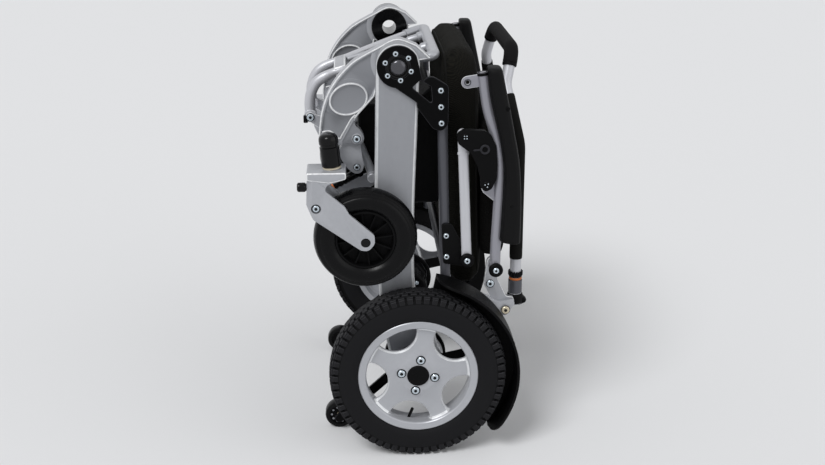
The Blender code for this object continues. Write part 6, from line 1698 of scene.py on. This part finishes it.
def makeArmBracket():
    outline = filleted([(0.065, 0.595, 0.009), (0.077, 0.603, 0.007), (0.112, 0.601, 0.007),
                        (0.1235, 0.593, 0.008), (0.1325, 0.574, 0.012), (0.135, 0.542, 0.014),
                        (0.134, 0.516, 0.012), (0.126, 0.499, 0.009), (0.115, 0.4935, 0.007),
                        (0.107, 0.502, 0.007), (0.106, 0.518, 0.012), (0.101, 0.54, 0.016),
                        (0.089, 0.563, 0.016), (0.068, 0.579, 0.01)], 7)
    out = armrest["bracketOut"]
    body = platePiece("armrestBracket", outline, out, armrest["bracketIn"])
    carved(body, [sweptPiece("groove", [(p[0], armrest["plane"], p[1]) for p in curved(armSpine, 6)], 0.0096,
                             40)])
    rounded(body, 0.0022, 3, 40)
    finishPair(body, "mouldedNylon", "armrest_SIDE", ["armrest_bracket"], sharp=40)
    bx, bz = armrest["boss"]
    boss = turnedPiece("armrestBoss", [(0.0, out - 0.0008), (0.0048, out - 0.0008), (0.0056, out - 0.0022),
                                       (0.0076, out - 0.0025), (0.0085, out - 0.0016), (0.0085, out + 0.001),
                                       (0.0, out + 0.001)], (bx, bz), 48)
    # The boss's rim and its notch take the lighter edge tone: a painted highlight
    markFaces(boss, "edge", lambda face: awayFrom((bx, bz), face) > 0.005)
    notch = platePiece("notch", slotOutline((bx - 0.0085, bz - 0.0004), (bx - 0.018, bz - 0.0012), 0.0015),
                       out - 0.001, out + 0.001)
    markFaces(notch, "edge", lambda f: True)
    joined(boss, [notch])
    finishPair(boss, "blackCoat", "armrest_SIDE")
    for name, spot, radius, pins in (("armrestScrew", (0.08, 0.5905), 0.006, 4),
                                     ("armrestLowScrew", (0.1175, 0.506), 0.0066, 3)):
        head = turnedPiece(name, [(0.0, out - 0.0014), (radius - 0.0012, out - 0.0014),
                                  (radius, out - 0.0004), (radius, out + 0.0006), (0.0, out + 0.0006)], spot,
                           40)
        finishPair(head, "mouldedNylon", "armrest_SIDE")
        boltSet(name + "Pins", [polar(spot, radius * 0.5, 45 + 360 / pins * i) for i in range(pins)],
                out - 0.0012, radius * 0.17, 0.0005, "zincPlate", "armrest_SIDE", 0.05, 0.0002)


pad = dict(half=0.023, corner=0.01, ridge=0.001, power=3.4, across=44,
           left=[(0.115, 0.7075), (0.1185, 0.668), (0.129, 0.62), (0.1395, 0.576), (0.1455, 0.534),
                 (0.146, 0.498),
                 (0.1445, 0.45), (0.1425, 0.4)],
           right=[(0.139, 0.7075), (0.149, 0.662), (0.162, 0.602), (0.173, 0.544), (0.178, 0.483),
                  (0.179, 0.44),
                  (0.179, 0.425), (0.1788, 0.397)])


def makeArmPad():
    left = curved(pad["left"], 14)
    right = curved(pad["right"], 14)
    y = armrest["plane"]
    turns = [2 * math.pi * k / pad["across"] for k in range(pad["across"])]
    rows = []
    for a, b in zip(left, right):
        away = min((a - left[0]).length, (left[-1] - a).length)
        near = min(away / pad["corner"], 1.0)
        squeeze = (1 - (1 - near) ** 2.6) ** (1 / 2.6)
        row = []
        for turn in turns:
            c, s = math.cos(turn), math.sin(turn)
            u = math.copysign(abs(c) ** (2 / pad["power"]), c)
            w = math.copysign(abs(s) ** (2 / pad["power"]), s)
            ridge = pad["ridge"] * math.exp(-((abs(u) - 0.62) / 0.05) ** 2) if abs(w) > 0.8 else 0.0
            spot = (a + b) / 2 + (b - a) / 2 * u * (0.7 + 0.3 * squeeze)
            row.append((spot.x, y + pad["half"] * (0.55 + 0.45 * squeeze) * w - math.copysign(ridge, w),
                        spot.y))
        rows.append(row)
    piece = loftPiece("armrestPad", rows)
    step = piece.modifiers.new("soft", "SUBSURF")
    step.levels = step.render_levels = 1
    bakeModifiers(piece)
    for item in finishPair(piece, "padSkin", "armrest_SIDE", ["armrest_pad"], sharp=60):
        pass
    boltSet("padScrews", [(0.16, 0.47), (0.148, 0.64)], y - pad["half"] + 0.001, 0.003, 0.0013,
            "mouldedNylon", "armrest_SIDE", 0.5)


makeArmTube()
makeArmLink()
makeArmBracket()
makeArmPad()
print("stage: armrests")


# Bolts

bolts = {
    "hubBolts": dict(body="seat_frame", y=-0.238, radius=0.0043, height=0.0022,
                     spots=[polar(hubSpot, 0.0225, turn) for turn in (101, 41, -19, -80, -141, 161)]),
    "bracketBolts": dict(body="seat_frame", y=-0.238, radius=0.0047, height=0.0024,
                         spots=[(0.0395, 0.666), (0.04, 0.638), (0.041, 0.61)]),
    "linkPlateBolts": dict(body="seat_frame", y=-0.237, radius=0.0047, height=0.0024,
                           spots=[(0.051, 0.408), (0.052, 0.369)]),
    "lugBolts": dict(body="front_frame", y=-0.1897, radius=0.0062, height=0.003, spots=[(-0.1015, 0.572)]),
    "lugLowBolts": dict(body="front_frame", y=-0.1817, radius=0.0052, height=0.0028,
                        spots=[(-0.102, 0.519)]),
}


def makeFixings():
    for name, b in bolts.items():
        boltSet(name, b["spots"], b["y"], b["radius"], b["height"], "zincPlate", b["body"], 0.48)


makeFixings()
print("stage: bolts")


# Cushions

cushions = {
    "seatCushion": dict(node="seat_cushion", look="seatMesh", body="seat_frame", pressure=3.0, voxel=0.006,
                        cap=0.004),
    "backCushion": dict(node="back_cushion", look="backMesh", body="back_rest", pressure=3.0, voxel=0.005,
                        cap=0.003),
}
piping = dict(radius=0.0022, low=0.2935, high=0.7205)


def puff(piece, pressure, voxel,
         cap):  # Cloth blown up a little from inside, with each point's move kept under cap
    remesh = piece.modifiers.new("remesh", "REMESH")
    remesh.mode = "VOXEL"
    remesh.voxel_size = voxel
    bakeModifiers(piece)
    smooth = piece.modifiers.new("smooth", "SMOOTH")
    smooth.factor = 0.5
    smooth.iterations = 6
    bakeModifiers(piece)
    rest = [v.co.copy() for v in piece.data.vertices]
    cloth = piece.modifiers.new("cloth", "CLOTH")
    cloth.settings.use_pressure = True
    cloth.settings.uniform_pressure_force = pressure
    cloth.settings.effector_weights.gravity = 0.0
    cloth.settings.quality = 4
    cloth.settings.mass = 0.3
    for number in range(1, 21):
        bpy.context.scene.frame_set(number)
    bakeModifiers(piece)
    bpy.context.scene.frame_set(1)
    for vertex, start in zip(piece.data.vertices, rest):
        move = vertex.co - start
        if move.length > cap:
            vertex.co = start + move * (cap / move.length)
    step = piece.modifiers.new("soft", "SUBSURF")
    step.levels = step.render_levels = 1
    bakeModifiers(piece)


def makeCushions():
    made = {}
    for name, facts in cushions.items():
        source = frame["nodes"][facts["node"]]
        piece = bpy.data.objects.new(name, source.data.copy())
        bpy.context.scene.collection.objects.link(piece)
        form = bmesh.new()
        form.from_mesh(piece.data)
        bmesh.ops.remove_doubles(form, verts=form.verts, dist=1e-5)
        form.to_mesh(piece.data)
        form.free()
        puff(piece, facts["pressure"], facts["voxel"], facts["cap"])
        finishPiece(piece, facts["look"], facts["body"], [facts["node"]], sharp=180)
        made[name] = piece
    return made


def makePiping(cushion):  # Corded seams round the two faces of the seat cushion, laid on its surface
    tree = BVHTree.FromPolygons([v.co for v in cushion.data.vertices],
                                [f.vertices for f in cushion.data.polygons])
    middle = (piping["low"] + piping["high"]) / 2
    for name, offset in (("seatPipingFront", 0.0128), ("seatPipingBack", 0.0618)):
        path = []
        for i in range(240):
            turn = 2 * math.pi * i / 240
            way = Vector((0.0, math.cos(turn), math.sin(turn)))
            low, high = 0.02, 0.3
            for _ in range(14):  # The farthest point out that still lies inside the cushion
                reach = (low + high) / 2
                z = middle + way.z * reach
                spot = Vector((seatX(z) + offset, way.y * reach, z))
                near, normal = tree.find_nearest(spot)[:2]
                if (spot - near).dot(normal) < 0:
                    low = reach
                else:
                    high = reach
            path.append(spot - way * 0.0008)
        for _ in range(2):
            path = [(path[i - 1] + path[i] * 2 + path[(i + 1) % 240]) / 4 for i in range(240)]
        cord = sweptPiece(name, path, piping["radius"], 14, 1.0, True, (1.0, 0.0, 0.0))
        finishPiece(cord, "wovenTape", "seat_frame")


made = makeCushions()
makePiping(made["seatCushion"])
print("stage: cushions")


# Stage, lights and camera

studio = dict(backdrop="#E2E3E5", floorSize=60.0, skyLevel=0.5, keySun=1.75, keySpread=24.0, fillSun=0.5,
              fillSpread=60.0)
view = dict(place=(-0.1114, -2.0439, 1.0733), yaw=3.281, pitch=19.977, lens=48.31)


def softSun(name, place, level, spread):  # Wide sun that shines from a place towards the object
    data = bpy.data.lights.new(name, "SUN")
    data.energy = level
    data.angle = math.radians(spread)
    lamp = bpy.data.objects.new(name, data)
    bpy.context.scene.collection.objects.link(lamp)
    lamp.location = place
    lamp.rotation_euler = (-Vector(place)).to_track_quat("-Z", "Y").to_euler()


def makeStage():
    half = studio["floorSize"] / 2
    floor = blockPiece("studioFloor", (-half, -half, -0.02), (half, half, -0.0005))
    material, _, shader = newMaterial("studioPaper")
    shader.inputs["Base Color"].default_value = toLinear(studio["backdrop"])
    shader.inputs["Roughness"].default_value = 1.0
    shader.inputs["Specular IOR Level"].default_value = 0.0
    floor.data.materials.append(material)
    world = bpy.data.worlds.new("studioWorld")
    bpy.context.scene.world = world
    world.use_nodes = True
    tree = world.node_tree
    tree.nodes.clear()
    rays = addNode(tree, "ShaderNodeLightPath").outputs
    sky = addNode(tree, "ShaderNodeBackground",
                  {"Color": toLinear("#FFFFFF"), "Strength": studio["skyLevel"]})
    paper = addNode(tree, "ShaderNodeBackground", {"Color": toLinear(studio["backdrop"]), "Strength": 1.0})
    seen = rays["Is Camera Ray"]
    for ray in ("Is Transmission Ray", "Is Glossy Ray"):
        seen = addNode(tree, "ShaderNodeMath", {0: seen, 1: rays[ray]}, operation="MAXIMUM").outputs[0]
    mixed = addNode(tree, "ShaderNodeMixShader", {0: seen, 1: sky.outputs[0], 2: paper.outputs[0]})
    addNode(tree, "ShaderNodeOutputWorld", {"Surface": mixed.outputs[0]})
    softSun("keyLight", (-1.2, -1.6, 2.4), studio["keySun"], studio["keySpread"])
    softSun("fillLight", (2.2, -1.2, 1.0), studio["fillSun"], studio["fillSpread"])


def makeCamera():
    data = bpy.data.cameras.new("photoCamera")
    data.lens = view["lens"]
    data.sensor_width = 36.0
    data.clip_start = 0.05
    data.clip_end = 100.0
    camera = bpy.data.objects.new("photoCamera", data)
    bpy.context.scene.collection.objects.link(camera)
    camera.location = view["place"]
    camera.rotation_euler = (math.radians(90 - view["pitch"]), 0.0, math.radians(-view["yaw"]))
    bpy.context.scene.camera = camera


makeStage()
makeCamera()
bpy.context.scene.view_settings.view_transform = "Standard"
print("stage: done")
